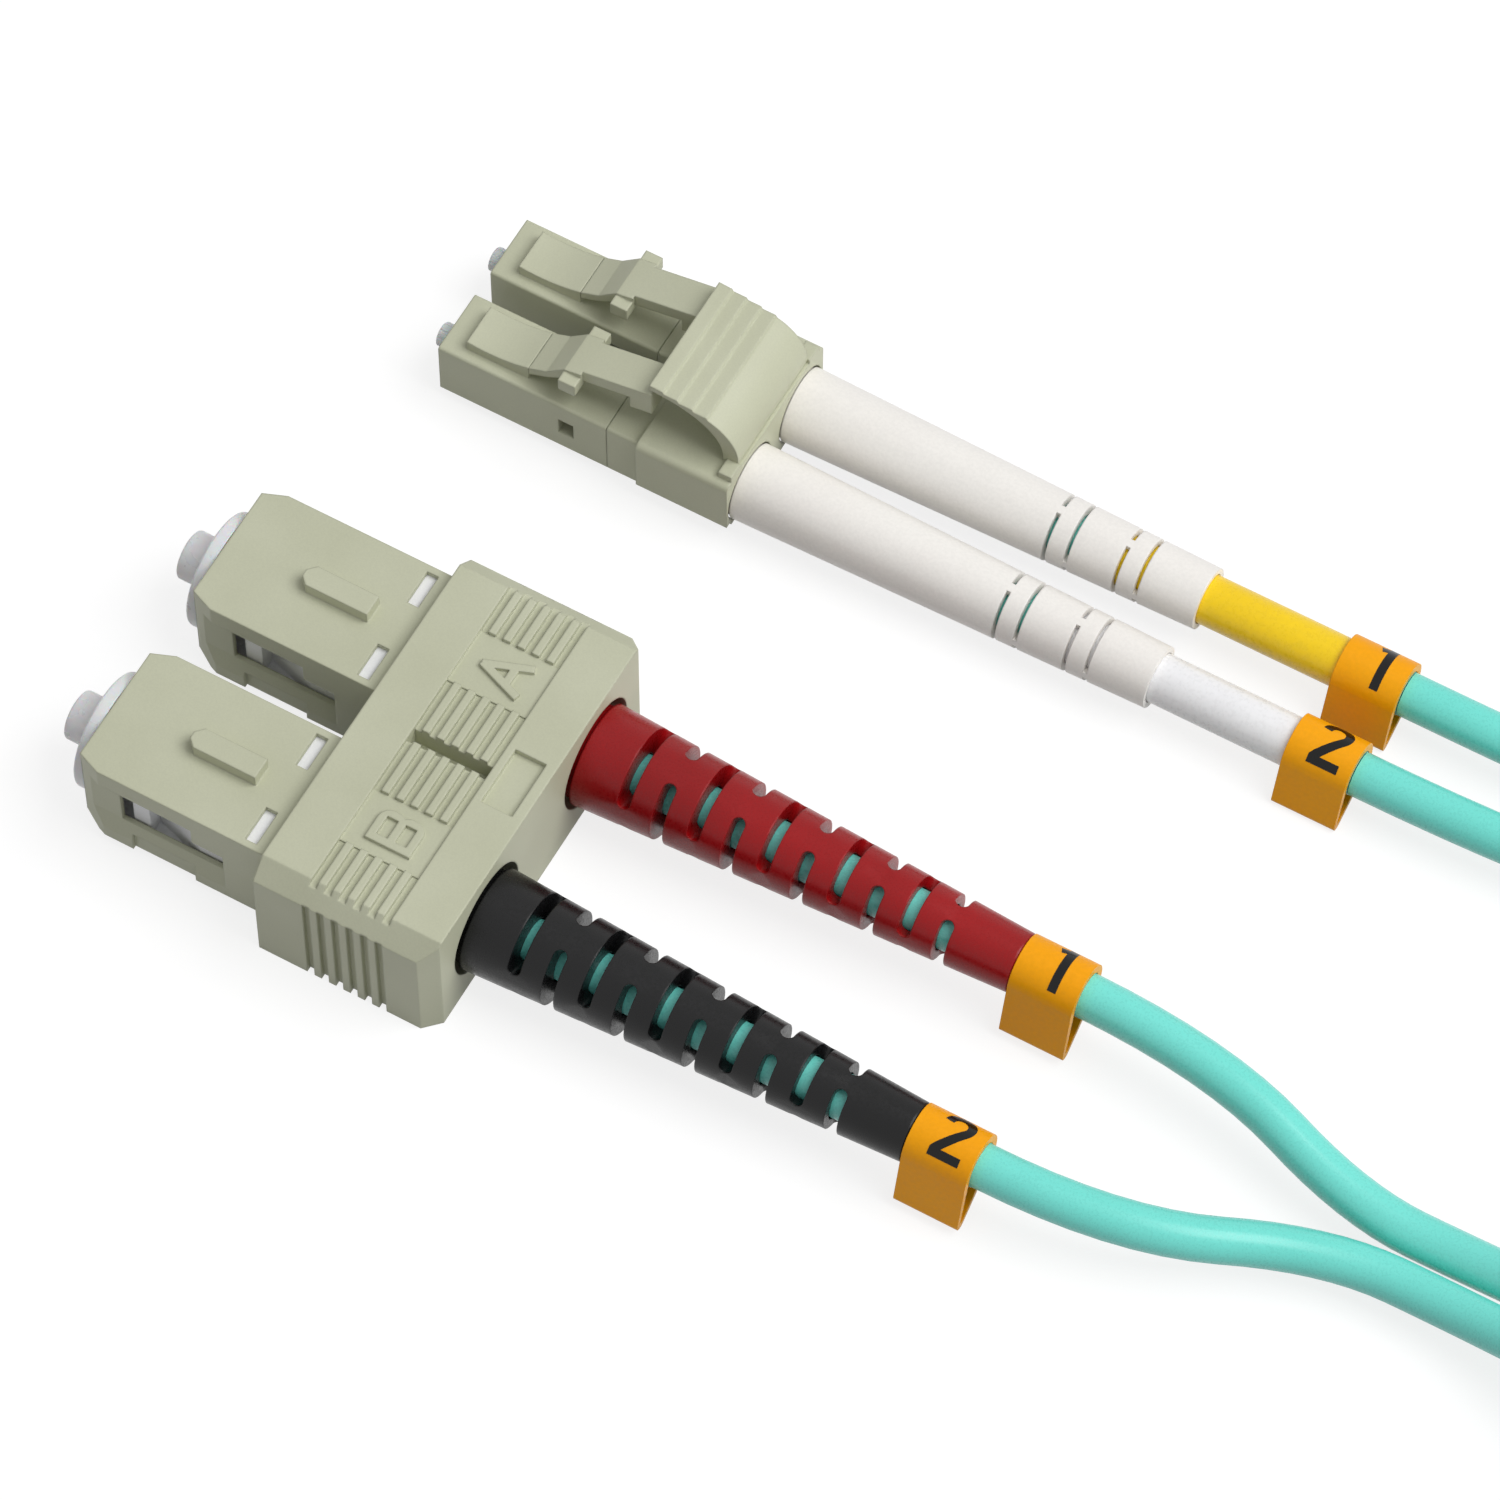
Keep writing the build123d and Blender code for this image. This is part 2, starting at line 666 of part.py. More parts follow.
def sc_duplex_clip():
    """Clip round both grips: ribbed bands, marked panels, and holes for the boots."""
    w = sc_clip_w / 2
    b = sc_clip_bevel
    section = [(-w, 0), (w, 0), (w, sc_clip_h - b), (w - b, sc_clip_h), (b - w, sc_clip_h),
               (-w, sc_clip_h - b)]
    body = cross_plate(section, sc_clip_x0, sc_clip_x1)
    c = sc_clip_rear_corner
    for side in (-1, 1):
        corner = [(sc_clip_x1 + cut, side * (w + cut)), (sc_clip_x1 - c, side * (w + cut)),
                  (sc_clip_x1 - c, side * w), (sc_clip_x1, side * (w - c)),
                  (sc_clip_x1 + cut, side * (w - c))]
        body -= flat_plate(corner, -cut, sc_clip_h + cut)
    for y in sc_y.values():
        body -= bar(sc_clip_x0 - cut, sc_clip_pocket_x, y, sc_axis_z,
                    sc_grip_w + 2 * sc_clip_fit, sc_grip_h + 2 * sc_clip_fit)
        body -= rod(sc_clip_x0, sc_clip_x1 + cut, y, sc_axis_z, sc_clip_hole_r)
    x_band = sc_clip_x0 + sc_band_from_front
    band_len = (2 * sc_groove_count - 1) * sc_groove_w
    for i in range(sc_groove_count):
        x = x_band + 2 * i * sc_groove_w
        for side in (-1, 1):
            top = sc_clip_h
            inner = sorted((side * sc_mid_slot_w / 2, side * sc_panel_from))
            outer = sorted((side * sc_panel_to, side * (w + cut)))
            body -= block(x, x + sc_groove_w, inner[0], inner[1], top - sc_groove_depth, top + cut)
            body -= block(x, x + sc_groove_w, outer[0], outer[1], top - sc_groove_depth, top + cut)
            flank = sorted((side * (w - sc_groove_depth), side * (w + cut)))
            body -= block(x, x + sc_groove_w, flank[0], flank[1], -cut, top - b)
    for side in (-1, 1):
        panel = sorted((side * sc_panel_from, side * sc_panel_to))
        body -= block(x_band, x_band + band_len, panel[0], panel[1],
                      sc_clip_h - sc_panel_depth, sc_clip_h + cut)
    body -= block(x_band, x_band + band_len, -sc_mid_slot_w / 2, sc_mid_slot_w / 2,
                  sc_clip_h - sc_mid_slot_depth, sc_clip_h + cut)
    x_recess = sc_clip_x0 + sc_recess_from_front
    body -= block(x_recess, x_recess + sc_recess_len, -sc_recess_w / 2, sc_recess_w / 2,
                  sc_clip_h - sc_recess_depth, sc_clip_h + cut)
    x_mid = x_band + band_len / 2
    y_mid = (sc_panel_from + sc_panel_to) / 2
    body += letter(letter_a(), x_mid, y_mid)
    body += letter(letter_b(), x_mid, -y_mid)
    return body


def letter(face, x, y):
    """A raised letter on a panel, its top towards the plugs."""
    z = sc_clip_h - sc_panel_depth
    return Pos(x, y, z) * Rot(0, 0, 90) * extrude(face, amount=sc_panel_depth)


def stroke(x0, y0, x1, y1):
    """A straight stroke of a letter."""
    run = Vector(x1 - x0, y1 - y0)
    turn = Rot(0, 0, run.get_signed_angle(Vector(1, 0), Vector(0, 0, -1)))
    bar_face = Rectangle(run.length + letter_stroke / 2, letter_stroke)
    return Pos((x0 + x1) / 2, (y0 + y1) / 2) * turn * bar_face


def letter_a():
    w = letter_w / 2 - letter_stroke / 4
    h = letter_h / 2 - letter_stroke / 4
    face = stroke(-w, -h, 0, h) + stroke(w, -h, 0, h)
    return face + stroke(-w / 2, -h / 3, w / 2, -h / 3)


def letter_b():
    h = letter_h / 2
    s = letter_stroke
    face = Pos(-letter_w / 2 + s / 2, 0) * Rectangle(s, letter_h)
    bowl_h = (letter_h + s) / 2
    for side in (-1, 1):
        middle = side * (h - bowl_h / 2)
        bowl = Rectangle(letter_w, bowl_h) - Rectangle(letter_w - 2 * s, bowl_h - 2 * s)
        rounded = fillet(bowl.vertices().group_by(Axis.X)[-1], bowl_h / 2 - s / 4)
        face += Pos(0, middle) * rounded
    return face


# LC plug


def lc_housing(y):
    """Square housing with the latch's root block, a stepped bore and side windows."""
    z = lc_axis_z
    body = bar(lc_front_x, lc_housing_x1, y, z, lc_body, lc_body)
    long_edges = body.edges().filter_by(Axis.X)
    body = fillet(long_edges, lc_edge)
    x0 = lc_front_x + lc_block_from_front
    x1 = lc_front_x + lc_arm_root_x - lc_arm_split
    top = lc_top + lc_block_h
    arm_top = lc_top + lc_arm_root_z + lc_arm_root_t
    line = Line((x0, lc_top - lc_edge), (x0, top))
    curve = Spline((x0, top), ((x0 + x1) / 2, top - lc_edge / 2), (x1, arm_top))
    back = Polyline((x1, arm_top), (x1, lc_top - lc_edge), (x0, lc_top - lc_edge))
    outline = make_face(line + curve + back)
    root = Pos(0, y, 0) * extrude(Plane.XZ * outline, amount=lc_latch_w / 2, both=True)
    body += root
    body -= rod(lc_front_x - cut, lc_front_x + lc_mouth_len, y, z, lc_mouth_r)
    body -= rod(lc_front_x, lc_housing_x1, y, z, lc_throat_r)
    body -= rod(lc_front_x + lc_mouth_len + lc_shoulder, lc_housing_x1 + cut, y, z, lc_bore_r)
    x_window = lc_front_x + lc_window_from_front
    body -= bar(x_window, x_window + lc_window_len, y, z, lc_body + cut, lc_window_h)
    return body


def lc_latch(y):
    """Free arm of the latch: it rises over two ears to a thick tail under the trigger."""
    x0 = lc_front_x + lc_arm_root_x
    z0 = lc_top + lc_arm_root_z
    x_step = lc_front_x + lc_arm_step_x
    z_step = lc_top + lc_arm_step_z
    x_tip = lc_front_x + lc_arm_tip_x
    z_tip = lc_top + lc_arm_tip_z
    x_knob = x_tip - lc_tail_knob_len
    x_bend = (x0 + x_step) / 2
    z_bend = z0 + lc_arm_root_t
    fall = (z_tip - z_step) / (x_tip - x_step)
    front = [
        (x0, z0),
        (x0, z0 + lc_arm_root_t),
        (x_bend, z_bend + lc_arm_root_t),
        (x_step, z_step),
        (x_step + lc_ear_len, z_step + fall * lc_ear_len),
        (x_step + lc_ear_len, z_step + fall * lc_ear_len - lc_arm_t),
        (x_step, z_step - lc_arm_t),
        (x_bend, z_bend),
    ]
    z_knob = z_tip - fall * lc_tail_knob_len
    tail = [
        (x_step, z_step - lc_arm_t),
        (x_step, z_step),
        (x_tip, z_tip),
        (x_tip, z_tip - lc_tail_knob_h),
        (x_knob, z_knob - lc_tail_knob_h),
        (x_knob, z_knob - lc_arm_t),
    ]
    body = side_plate(front, y, lc_latch_w) + side_plate(tail, y, lc_tail_w)
    ear_top = z_step - lc_ear_drop
    body += block(x_step, x_step + lc_ear_len, y - lc_latch_w / 2 - lc_ear_w,
                  y + lc_latch_w / 2 + lc_ear_w, ear_top - lc_ear_h, ear_top)
    return body


def lc_ferrule(y):
    """Thin zirconia ferrule that stands out of the plug's face."""
    x0 = lc_front_x - lc_ferrule_out
    body = rod(x0, x0 + lc_ferrule_len, y, lc_axis_z, lc_ferrule_r)
    tip = body.edges().filter_by(GeomType.CIRCLE).sort_by(Axis.X)[0]
    return chamfer(tip, lc_tip_chamfer)


def lc_ferrule_flange(y):
    x0 = lc_flange_x
    z = lc_axis_z
    ferrule_end = lc_front_x - lc_ferrule_out + lc_ferrule_len
    body = rod(x0, x0 + lc_flange_len, y, z, lc_flange_r)
    body += rod(x0, x0 + lc_flange_len + lc_tail_len, y, z, lc_tail_r)
    body -= rod(x0 - cut, ferrule_end + seat_gap, y, z, lc_ferrule_r)
    body -= rod(x0, x0 + lc_flange_len + lc_tail_len + cut, y, z, lc_fibre_bore_r)
    return body


def lc_spring(y):
    return coil_spring(lc_spring_x, y, lc_axis_z, lc_spring_r, lc_spring_wire,
                       lc_spring_len, lc_spring_turns)


def lc_rear_body(y):
    """Rear half of the plug, with its nose in the housing and a foot below."""
    z = lc_axis_z
    body = bar(lc_rear_x0, lc_rear_x1, y, z, lc_body, lc_body)
    body = fillet(body.edges().filter_by(Axis.X), lc_edge)
    foot_x = lc_rear_x0 + lc_foot_inset
    foot = block(foot_x, foot_x + lc_foot_len, y - lc_foot_w / 2, y + lc_foot_w / 2,
                 0, lc_floor_gap + lc_edge)
    body += foot
    body += rod(lc_nose_x0, lc_rear_x0, y, z, lc_bore_r - lc_nose_fit)
    body += rod(lc_rear_x1, lc_post_x1, y, z, lc_post_r)
    tail_end = lc_flange_x + lc_flange_len + lc_tail_len + ferrule_travel + travel_room
    body -= rod(lc_nose_x0 - cut, tail_end, y, z, lc_rear_bore_r)
    body -= rod(lc_nose_x0, lc_post_x1 + cut, y, z, lc_post_bore_r)
    return body


def lc_crimp_sleeve(y):
    x0 = lc_rear_x1 + seat_gap
    inner = lc_post_r + seat_gap
    body = rod(x0, x0 + lc_sleeve_len, y, lc_axis_z, inner + lc_sleeve_wall)
    return body - rod(x0 - cut, x0 + lc_sleeve_len + cut, y, lc_axis_z, inner)


def lc_boot(y):
    """Smooth tapered boot with two pairs of thin slits near its end."""
    z = lc_axis_z
    neck_x0 = lc_clip_x1 - lc_boot_neck_len
    body = taper(lc_clip_x1, lc_boot_x1, y, z, lc_boot_root_r, lc_boot_end_r)
    body += rod(neck_x0, lc_clip_x1 + seat_gap, y, z, lc_boot_neck_r)
    sleeve_end = lc_rear_x1 + lc_sleeve_len + lc_boot_ring_room
    body -= rod(neck_x0 - cut, sleeve_end, y, z, lc_post_r + lc_sleeve_wall + lc_boot_ring_gap)
    body -= rod(neck_x0, lc_boot_x1 + cut, y, z, bore_r)
    body -= rod(lc_sleeve_x0 - seat_gap, lc_boot_x1 + cut, y, z, sleeve_r + seat_gap)
    for pair in range(2):
        x = lc_boot_x1 - lc_slit_from_end - pair * lc_slit_pair_pitch
        body -= boot_slit(x, y, z, 90)
        body -= boot_slit(x - lc_slit_pitch, y, z, 0)
    return body


def boot_slit(x, y, z, bridge):
    """A thin ring slit round a boot, left whole at two opposite bridges."""
    x0, x1 = x - lc_slit_w / 2, x + lc_slit_w / 2
    reach = lc_boot_root_r + cut
    ring = rod(x0, x1, 0, 0, reach) - rod(x0 - cut, x1 + cut, 0, 0, bore_r)
    half = radians(lc_slit_bridge_angle) / 2
    side, rise = 2 * reach * sin(half), 2 * reach * cos(half)
    ring -= cross_plate([(0, 0), (side, rise), (-side, rise)], x0 - cut, x1 + cut)
    ring -= cross_plate([(0, 0), (side, -rise), (-side, -rise)], x0 - cut, x1 + cut)
    return Pos(0, y, z) * Rot(bridge, 0, 0) * ring


def lc_dust_cap(y):
    """Small fluted cap that closes over the ferrule."""
    z = lc_axis_z
    x0 = lc_front_x - lc_ferrule_out - lc_cap_end
    body = rod(x0, x0 + lc_cap_len, y, z, lc_cap_r)
    front = body.edges().filter_by(GeomType.CIRCLE).sort_by(Axis.X)[0]
    body = fillet(front, lc_cap_wall)
    for i in range(lc_cap_flutes):
        angle = 2 * pi * i / lc_cap_flutes
        dy = (lc_cap_r + lc_cap_flute_r / 3) * cos(angle)
        dz = (lc_cap_r + lc_cap_flute_r / 3) * sin(angle)
        body -= rod(x0 - cut, x0 + lc_cap_len + cut, y + dy, z + dz, lc_cap_flute_r)
    hole_x0 = lc_front_x - lc_ferrule_out - travel_room
    return body - rod(hole_x0, x0 + lc_cap_len + cut, y, z, lc_cap_r - lc_cap_wall)


def lc_duplex_clip():
    """Clip that snaps down over both rear bodies and both boots."""
    x0, x1 = lc_clip_x0, lc_clip_x1
    body = block(x0, x1, lc_mid_y - lc_clip_half, lc_mid_y + lc_clip_half,
                 lc_clip_bottom, lc_clip_top)
    upper = body.edges().filter_by(Axis.X).group_by(Axis.Z)[-1]
    body = fillet(upper, lc_clip_round)
    plate_x0 = x1 - lc_flange_plate_t
    body += block(plate_x0, x1, lc_mid_y - lc_flange_plate_w / 2, lc_mid_y + lc_flange_plate_w / 2,
                  lc_flange_plate_bottom, lc_flange_plate_top)
    root_x0, root_x1 = trigger_root_span()
    body += block(root_x0, root_x1, lc_mid_y - trigger_w / 2, lc_mid_y + trigger_w / 2,
                  lc_clip_top - cut, trigger_root_z)
    body -= block(root_x0 - cut, x1 + cut, lc_mid_y - trigger_w / 2, lc_mid_y + trigger_w / 2,
                  trigger_root_z, lc_flange_plate_top + cut)
    side = lc_body + 2 * lc_clip_fit
    for y in lc_y.values():
        body -= block(x0 - cut, lc_rear_x1 + lc_clip_fit, y - side / 2, y + side / 2,
                      lc_clip_bottom - cut, lc_top + lc_clip_fit)
        body -= rod(x0, x1 + cut, y, lc_axis_z, lc_clip_hole_r)
    return body


def trigger_root_span():
    """Where the trigger grows out of the clip."""
    x1 = lc_clip_x1 - trigger_root_inset
    return x1 - trigger_root_t, x1


def lc_trigger():
    """Arched trigger that hooks forward over both latch tails, with stepped treads."""
    root_x0, root_x1 = trigger_root_span()
    z0 = trigger_root_z + trigger_split
    x_lip = lc_front_x + trigger_lip_x
    z_lip = trigger_lip_z
    outer = [(x_lip, z_lip)]
    for i in range(trigger_treads):
        x_next = x_lip + (i + 1) * trigger_tread
        outer.append((x_next - trigger_step / 2, z_lip - i * trigger_step - trigger_step / 3))
        outer.append((x_next, z_lip - (i + 1) * trigger_step - trigger_step / 3))
    x_arc, z_arc = outer[-1]
    bend_out = (root_x1 - (root_x1 - x_arc) / 4, z_arc - (z_arc - z0) / 3)
    z_in = z_lip - trigger_lip_t
    bend_in = (root_x0 - (root_x0 - x_lip) / 5, z_in - (z_in - z0) / 3)
    inside_x = (x_lip + root_x0) / 2
    inside_z = z_in - trigger_step * 2
    back = Polyline(*outer)
    arch_out = ThreePointArc((x_arc, z_arc), bend_out, (root_x1, z0))
    foot = Line((root_x1, z0), (root_x0, z0))
    arch_in = Spline((root_x0, z0), bend_in, (inside_x, inside_z), (x_lip, z_in))
    lip = Line((x_lip, z_in), (x_lip, z_lip))
    outline = make_face(back + arch_out + foot + arch_in + lip)
    plate = extrude(Plane.XZ * outline, amount=trigger_w / 2, both=True)
    return Pos(0, lc_mid_y, 0) * plate


# Cable, sleeves and tags


def cable_end(x0, x1, y, z):
    return rod(x0, x1, y, z, jacket_r)


def colour_sleeve(y):
    """Thin sleeve that runs from inside the boot to the tag."""
    body = rod(lc_sleeve_x0, lc_sleeve_x1, y, lc_axis_z, sleeve_r)
    return body - rod(lc_sleeve_x0 - cut, lc_sleeve_x1 + cut, y, lc_axis_z, jacket_r + seat_gap / 2)


def tag_outline(radius, tip_r, tip_y, tip_z):
    """A teardrop: a circle round the cable, drawn out to a small round tip."""
    distance = sqrt(tip_y ** 2 + tip_z ** 2)
    along = Vector(tip_y, tip_z).normalized()
    across = Vector(-along.Y, along.X)
    lean = (radius - tip_r) / distance
    rise = sqrt(1 - lean ** 2)
    points = []
    for side in (1, -1):
        out = along * lean + across * (side * rise)
        big = out * radius
        small = Vector(tip_y, tip_z) + out * tip_r
        points.append((big, small))
    web = Polyline(points[0][0], points[0][1], points[1][1], points[1][0], close=True)
    return make_face(web) + Circle(radius) + Pos(tip_y, tip_z) * Circle(tip_r)


def marker_tag(x0, x1, y, z, tip_z):
    """Folded number tag round the cable, its tail hanging beside it."""
    inner = jacket_r + seat_gap
    outer = inner + tag_wall
    face = tag_outline(outer, tag_tip_r, tag_tip_y, tip_z)
    hollow_tip = tag_tip_r - tag_wall / 2
    scale_back = 1 - (tag_wall / 2) / sqrt(tag_tip_y ** 2 + tip_z ** 2)
    face -= tag_outline(inner, hollow_tip, tag_tip_y * scale_back, tip_z * scale_back)
    return Pos(x0, y, z) * extrude(Plane.YZ * face, amount=x1 - x0)


def bend_radii(points):
    """Radius at each inner point of a route: 0.45 of the shorter run over tan(half turn)."""
    radii = []
    for before, here, after in zip(points, points[1:], points[2:]):
        run_in = Vector(here) - Vector(before)
        run_out = Vector(after) - Vector(here)
        half_turn = radians(run_in.get_angle(run_out)) / 2
        shorter = min(run_in.length, run_out.length)
        radii.append(0.45 * shorter / sin(half_turn) * cos(half_turn))
    return radii


def cord_tube(name, points):
    """Cable along a route of straight runs and tangent arcs."""
    radii = bend_radii(points)
    path = FilletPolyline(*points, radius=radii)
    start = Plane(origin=path @ 0, z_dir=path % 0)
    tube = sweep(start * Circle(jacket_r), path=path, transition=Transition.ROUND)
    expected = pi * jacket_r ** 2 * path.length
    print(name, "length", round(path.length, 1), "volume ratio", round(tube.volume / expected, 4),
          "radii", [round(r) for r in radii])
    return tube


def cable_coil():
    """Outer shape of the wound cable: a flat ring two cables high."""
    z0 = coil_lift
    z1 = coil_lift + 2 * coil_pitch
    outer = Pos(coil_x, coil_y, (z0 + z1) / 2) * Cylinder(coil_r_out + jacket_r, z1 - z0)
    inner = Pos(coil_x, coil_y, (z0 + z1) / 2) * Cylinder(coil_r_in - jacket_r, z1 - z0 + cut)
    ring = outer - inner
    return fillet(ring.edges().filter_by(GeomType.CIRCLE), coil_round)


def coil_tie():
    """Flat strap closed round the coil."""
    x0 = coil_x + sqrt((coil_r_in - jacket_r) ** 2 - (tie_w / 2) ** 2) - tie_room
    x1 = coil_x + coil_r_out + jacket_r + tie_room
    z1 = coil_lift + 2 * coil_pitch + tie_room
    y0, y1 = coil_y - tie_w / 2, coil_y + tie_w / 2
    band = block(x0 - tie_t, x1 + tie_t, y0, y1, 0, z1 + tie_t)
    band = fillet(band.edges().filter_by(Axis.Y), tie_t)
    return band - block(x0, x1, y0 - cut, y1 + cut, tie_t, z1)


nodes = {}
for i in (1, 2):
    y = sc_y[i]
    nodes[f"sc_grip_{i}"] = sc_grip(y)
    nodes[f"sc_inner_frame_{i}"] = sc_inner_frame(y)
    nodes[f"sc_ferrule_{i}"] = sc_ferrule(y)
    nodes[f"sc_ferrule_flange_{i}"] = sc_ferrule_flange(y)
    nodes[f"sc_spring_{i}"] = sc_spring(y)
    nodes[f"sc_rear_body_{i}"] = sc_rear_body(y)
    nodes[f"sc_crimp_ring_{i}"] = sc_crimp_ring(y)
    nodes[f"sc_boot_{i}"] = sc_boot(y)
    nodes[f"sc_dust_cap_{i}"] = sc_dust_cap(y)
    nodes[f"sc_marker_tag_{i}"] = marker_tag(sc_boot_x1, sc_tag_x1, y, sc_axis_z, sc_tag_tip_z)
    nodes[f"sc_cable_end_{i}"] = cable_end(sc_cable_x0, sc_tag_x1, y, sc_axis_z)
nodes["sc_duplex_clip"] = sc_duplex_clip()
for i in (1, 2):
    y = lc_y[i]
    nodes[f"lc_housing_{i}"] = lc_housing(y)
    nodes[f"lc_latch_{i}"] = lc_latch(y)
    nodes[f"lc_ferrule_{i}"] = lc_ferrule(y)
    nodes[f"lc_ferrule_flange_{i}"] = lc_ferrule_flange(y)
    nodes[f"lc_spring_{i}"] = lc_spring(y)
    nodes[f"lc_rear_body_{i}"] = lc_rear_body(y)
    nodes[f"lc_crimp_sleeve_{i}"] = lc_crimp_sleeve(y)
    nodes[f"lc_boot_{i}"] = lc_boot(y)
    nodes[f"lc_dust_cap_{i}"] = lc_dust_cap(y)
    nodes[f"lc_colour_sleeve_{i}"] = colour_sleeve(y)
    tip_z = tag_tip_r - lc_axis_z
    nodes[f"lc_marker_tag_{i}"] = marker_tag(lc_sleeve_x1, lc_tag_x1, y, lc_axis_z, tip_z)
    nodes[f"lc_cable_end_{i}"] = cable_end(lc_cable_x0, lc_tag_x1, y, lc_axis_z)
nodes["lc_duplex_clip"] = lc_duplex_clip()
nodes["lc_trigger"] = lc_trigger()
nodes["cord_1_lc_leg"] = cord_tube("cord_1_lc_leg", lc_leg_1)
nodes["cord_2_lc_leg"] = cord_tube("cord_2_lc_leg", lc_leg_2)
nodes["cord_1_sc_leg"] = cord_tube("cord_1_sc_leg", sc_leg_1)
nodes["cord_2_sc_leg"] = cord_tube("cord_2_sc_leg", sc_leg_2)
nodes["cable_coil"] = cable_coil()
nodes["coil_tie"] = coil_tie()

os.makedirs("parts", exist_ok=True)
for name, solid in nodes.items():
    export_step(solid, f"parts/{name}.step")
print(len(nodes), "nodes; coil inner radius", round(coil_r_in, 2))
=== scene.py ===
# %% [markdown]
# # A duplex fibre optic patch cable
#
# The object is a short cable with four plugs. One pair is square push-pull plugs
# held by a ribbed clip, the other pair is small latched plugs under one trigger.
# The rigid shapes come ready from the CAD model, so this lesson is about what CAD
# leaves out: the cable that bends, the surfaces of moulded plastic and rubber, the
# printed numbers, the strap round the coil, and the light.

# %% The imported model
from math import cos, pi, radians, sin

import bpy
import numpy as np
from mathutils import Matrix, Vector


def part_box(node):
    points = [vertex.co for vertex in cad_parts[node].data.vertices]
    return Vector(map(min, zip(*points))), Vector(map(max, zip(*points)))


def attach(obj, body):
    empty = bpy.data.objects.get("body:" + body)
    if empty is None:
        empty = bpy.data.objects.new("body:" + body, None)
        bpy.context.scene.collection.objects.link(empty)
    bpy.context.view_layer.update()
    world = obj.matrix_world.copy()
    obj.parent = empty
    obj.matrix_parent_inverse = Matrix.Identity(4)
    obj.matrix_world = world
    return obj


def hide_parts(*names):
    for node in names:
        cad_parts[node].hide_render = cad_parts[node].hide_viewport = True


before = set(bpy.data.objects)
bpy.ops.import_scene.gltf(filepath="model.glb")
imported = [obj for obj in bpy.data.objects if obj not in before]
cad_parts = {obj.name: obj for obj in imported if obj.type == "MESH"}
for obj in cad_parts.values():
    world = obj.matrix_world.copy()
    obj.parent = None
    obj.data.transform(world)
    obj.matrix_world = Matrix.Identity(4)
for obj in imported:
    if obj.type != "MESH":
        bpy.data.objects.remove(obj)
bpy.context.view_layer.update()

MM = 0.001

# %% [markdown]
# ## The camera
#
# The photograph looks down on the plugs from their cable side, with a long lens.
# The camera stands where the same edges fall on the same places of a square frame.
# An angle, a height above the floor, a distance and one point that it looks at are
# enough to place it, and they are easier to change by hand than a matrix.

# %% Camera
view_turn = radians(29.48)
view_rise = radians(60.0)
view_distance = 505 * MM
view_target = Vector((12.5, 13.3, 0.0)) * MM
sensor_mm = 36
focal_px, photo_px = 8491, 1500

towards_camera = Vector((sin(view_turn) * cos(view_rise),
                         -cos(view_turn) * cos(view_rise),
                         sin(view_rise)))
camera_data = bpy.data.cameras.new("studio_camera")
camera_data.sensor_width = sensor_mm
camera_data.lens = sensor_mm * focal_px / photo_px
camera_data.clip_start = 0.02
camera_data.clip_end = 20
camera = bpy.data.objects.new("studio_camera", camera_data)
camera.location = view_target + towards_camera * view_distance
camera.rotation_mode = "QUATERNION"
camera.rotation_quaternion = (-towards_camera).to_track_quat("-Z", "Y")
bpy.context.scene.collection.objects.link(camera)
bpy.context.scene.camera = camera
print("lens", round(camera_data.lens), "mm, camera", round(view_distance / MM), "mm away")

# %% [markdown]
# ## Colours and nodes
#
# A colour picked from a screen is an sRGB value, but light is added up in linear
# values, so each hex colour goes through the sRGB curve first. The second helper
# adds one node, sets what is given and links its inputs, so that a material reads
# as a short list of what it is made of.

# %% Helpers for colour and nodes
def linear(hex_colour, alpha=1.0):
    """An sRGB hex colour as linear values: v / 12.92 up to 0.04045, above it
    ((v + 0.055) / 1.055) ** 2.4."""
    value = np.array([int(hex_colour[i:i + 2], 16) for i in (1, 3, 5)]) / 255
    value = np.where(value <= 0.04045, value / 12.92, ((value + 0.055) / 1.055) ** 2.4)
    return (*value.tolist(), alpha)


def add(tree, kind, inputs=(), **settings):
    """One node of a kind, with its settings, and its inputs given as values or as
    another node's socket."""
    node = tree.nodes.new(kind)
    for name, value in settings.items():
        setattr(node, name, value)
    for name, value in dict(inputs).items():
        if isinstance(value, bpy.types.NodeSocket):
            tree.links.new(value, node.inputs[name])
        else:
            node.inputs[name].default_value = value
    return node


def blank_material(name):
    """A material with an empty node tree but for its output."""
    material = bpy.data.materials.new(name)
    material.use_nodes = True
    material.node_tree.nodes.clear()
    output = material.node_tree.nodes.new("ShaderNodeOutputMaterial")
    return material, material.node_tree, output


def ramp(tree, factor, stops):
    """A colour ramp whose stops are (place, linear colour)."""
    node = add(tree, "ShaderNodeValToRGB", {"Fac": factor})
    while len(node.color_ramp.elements) < len(stops):
        node.color_ramp.elements.new(0.5)
    for element, (place, colour) in zip(node.color_ramp.elements, stops):
        element.position = place
        element.color = colour
    return node.outputs["Color"]


print("mid grey #808080 is", round(linear("#808080")[0], 3), "in linear light")

# %% [markdown]
# ## Moulded plastic
#
# Most of the cable is injection moulded. A steel mould leaves three marks that the
# eye reads as plastic: a fine spark-eroded grain, slow waves where the melt shrank
# over ribs, and small radii on every edge. A picture of plastic could be wrapped on,
# but it would stretch and repeat. Noise in the object's own space fits any shape: the
# grain is noise at its real size in millimetres, the waves are a much larger noise,
# and the Bevel node rounds the edges in the shading, so that each edge catches its
# thin line of light.

# %% One recipe for moulded and extruded plastics
shrink_depth = 0.05 * MM
speck_dark = (0.95, 0.95, 0.95, 1)
speck_light = (1, 1, 1, 1)


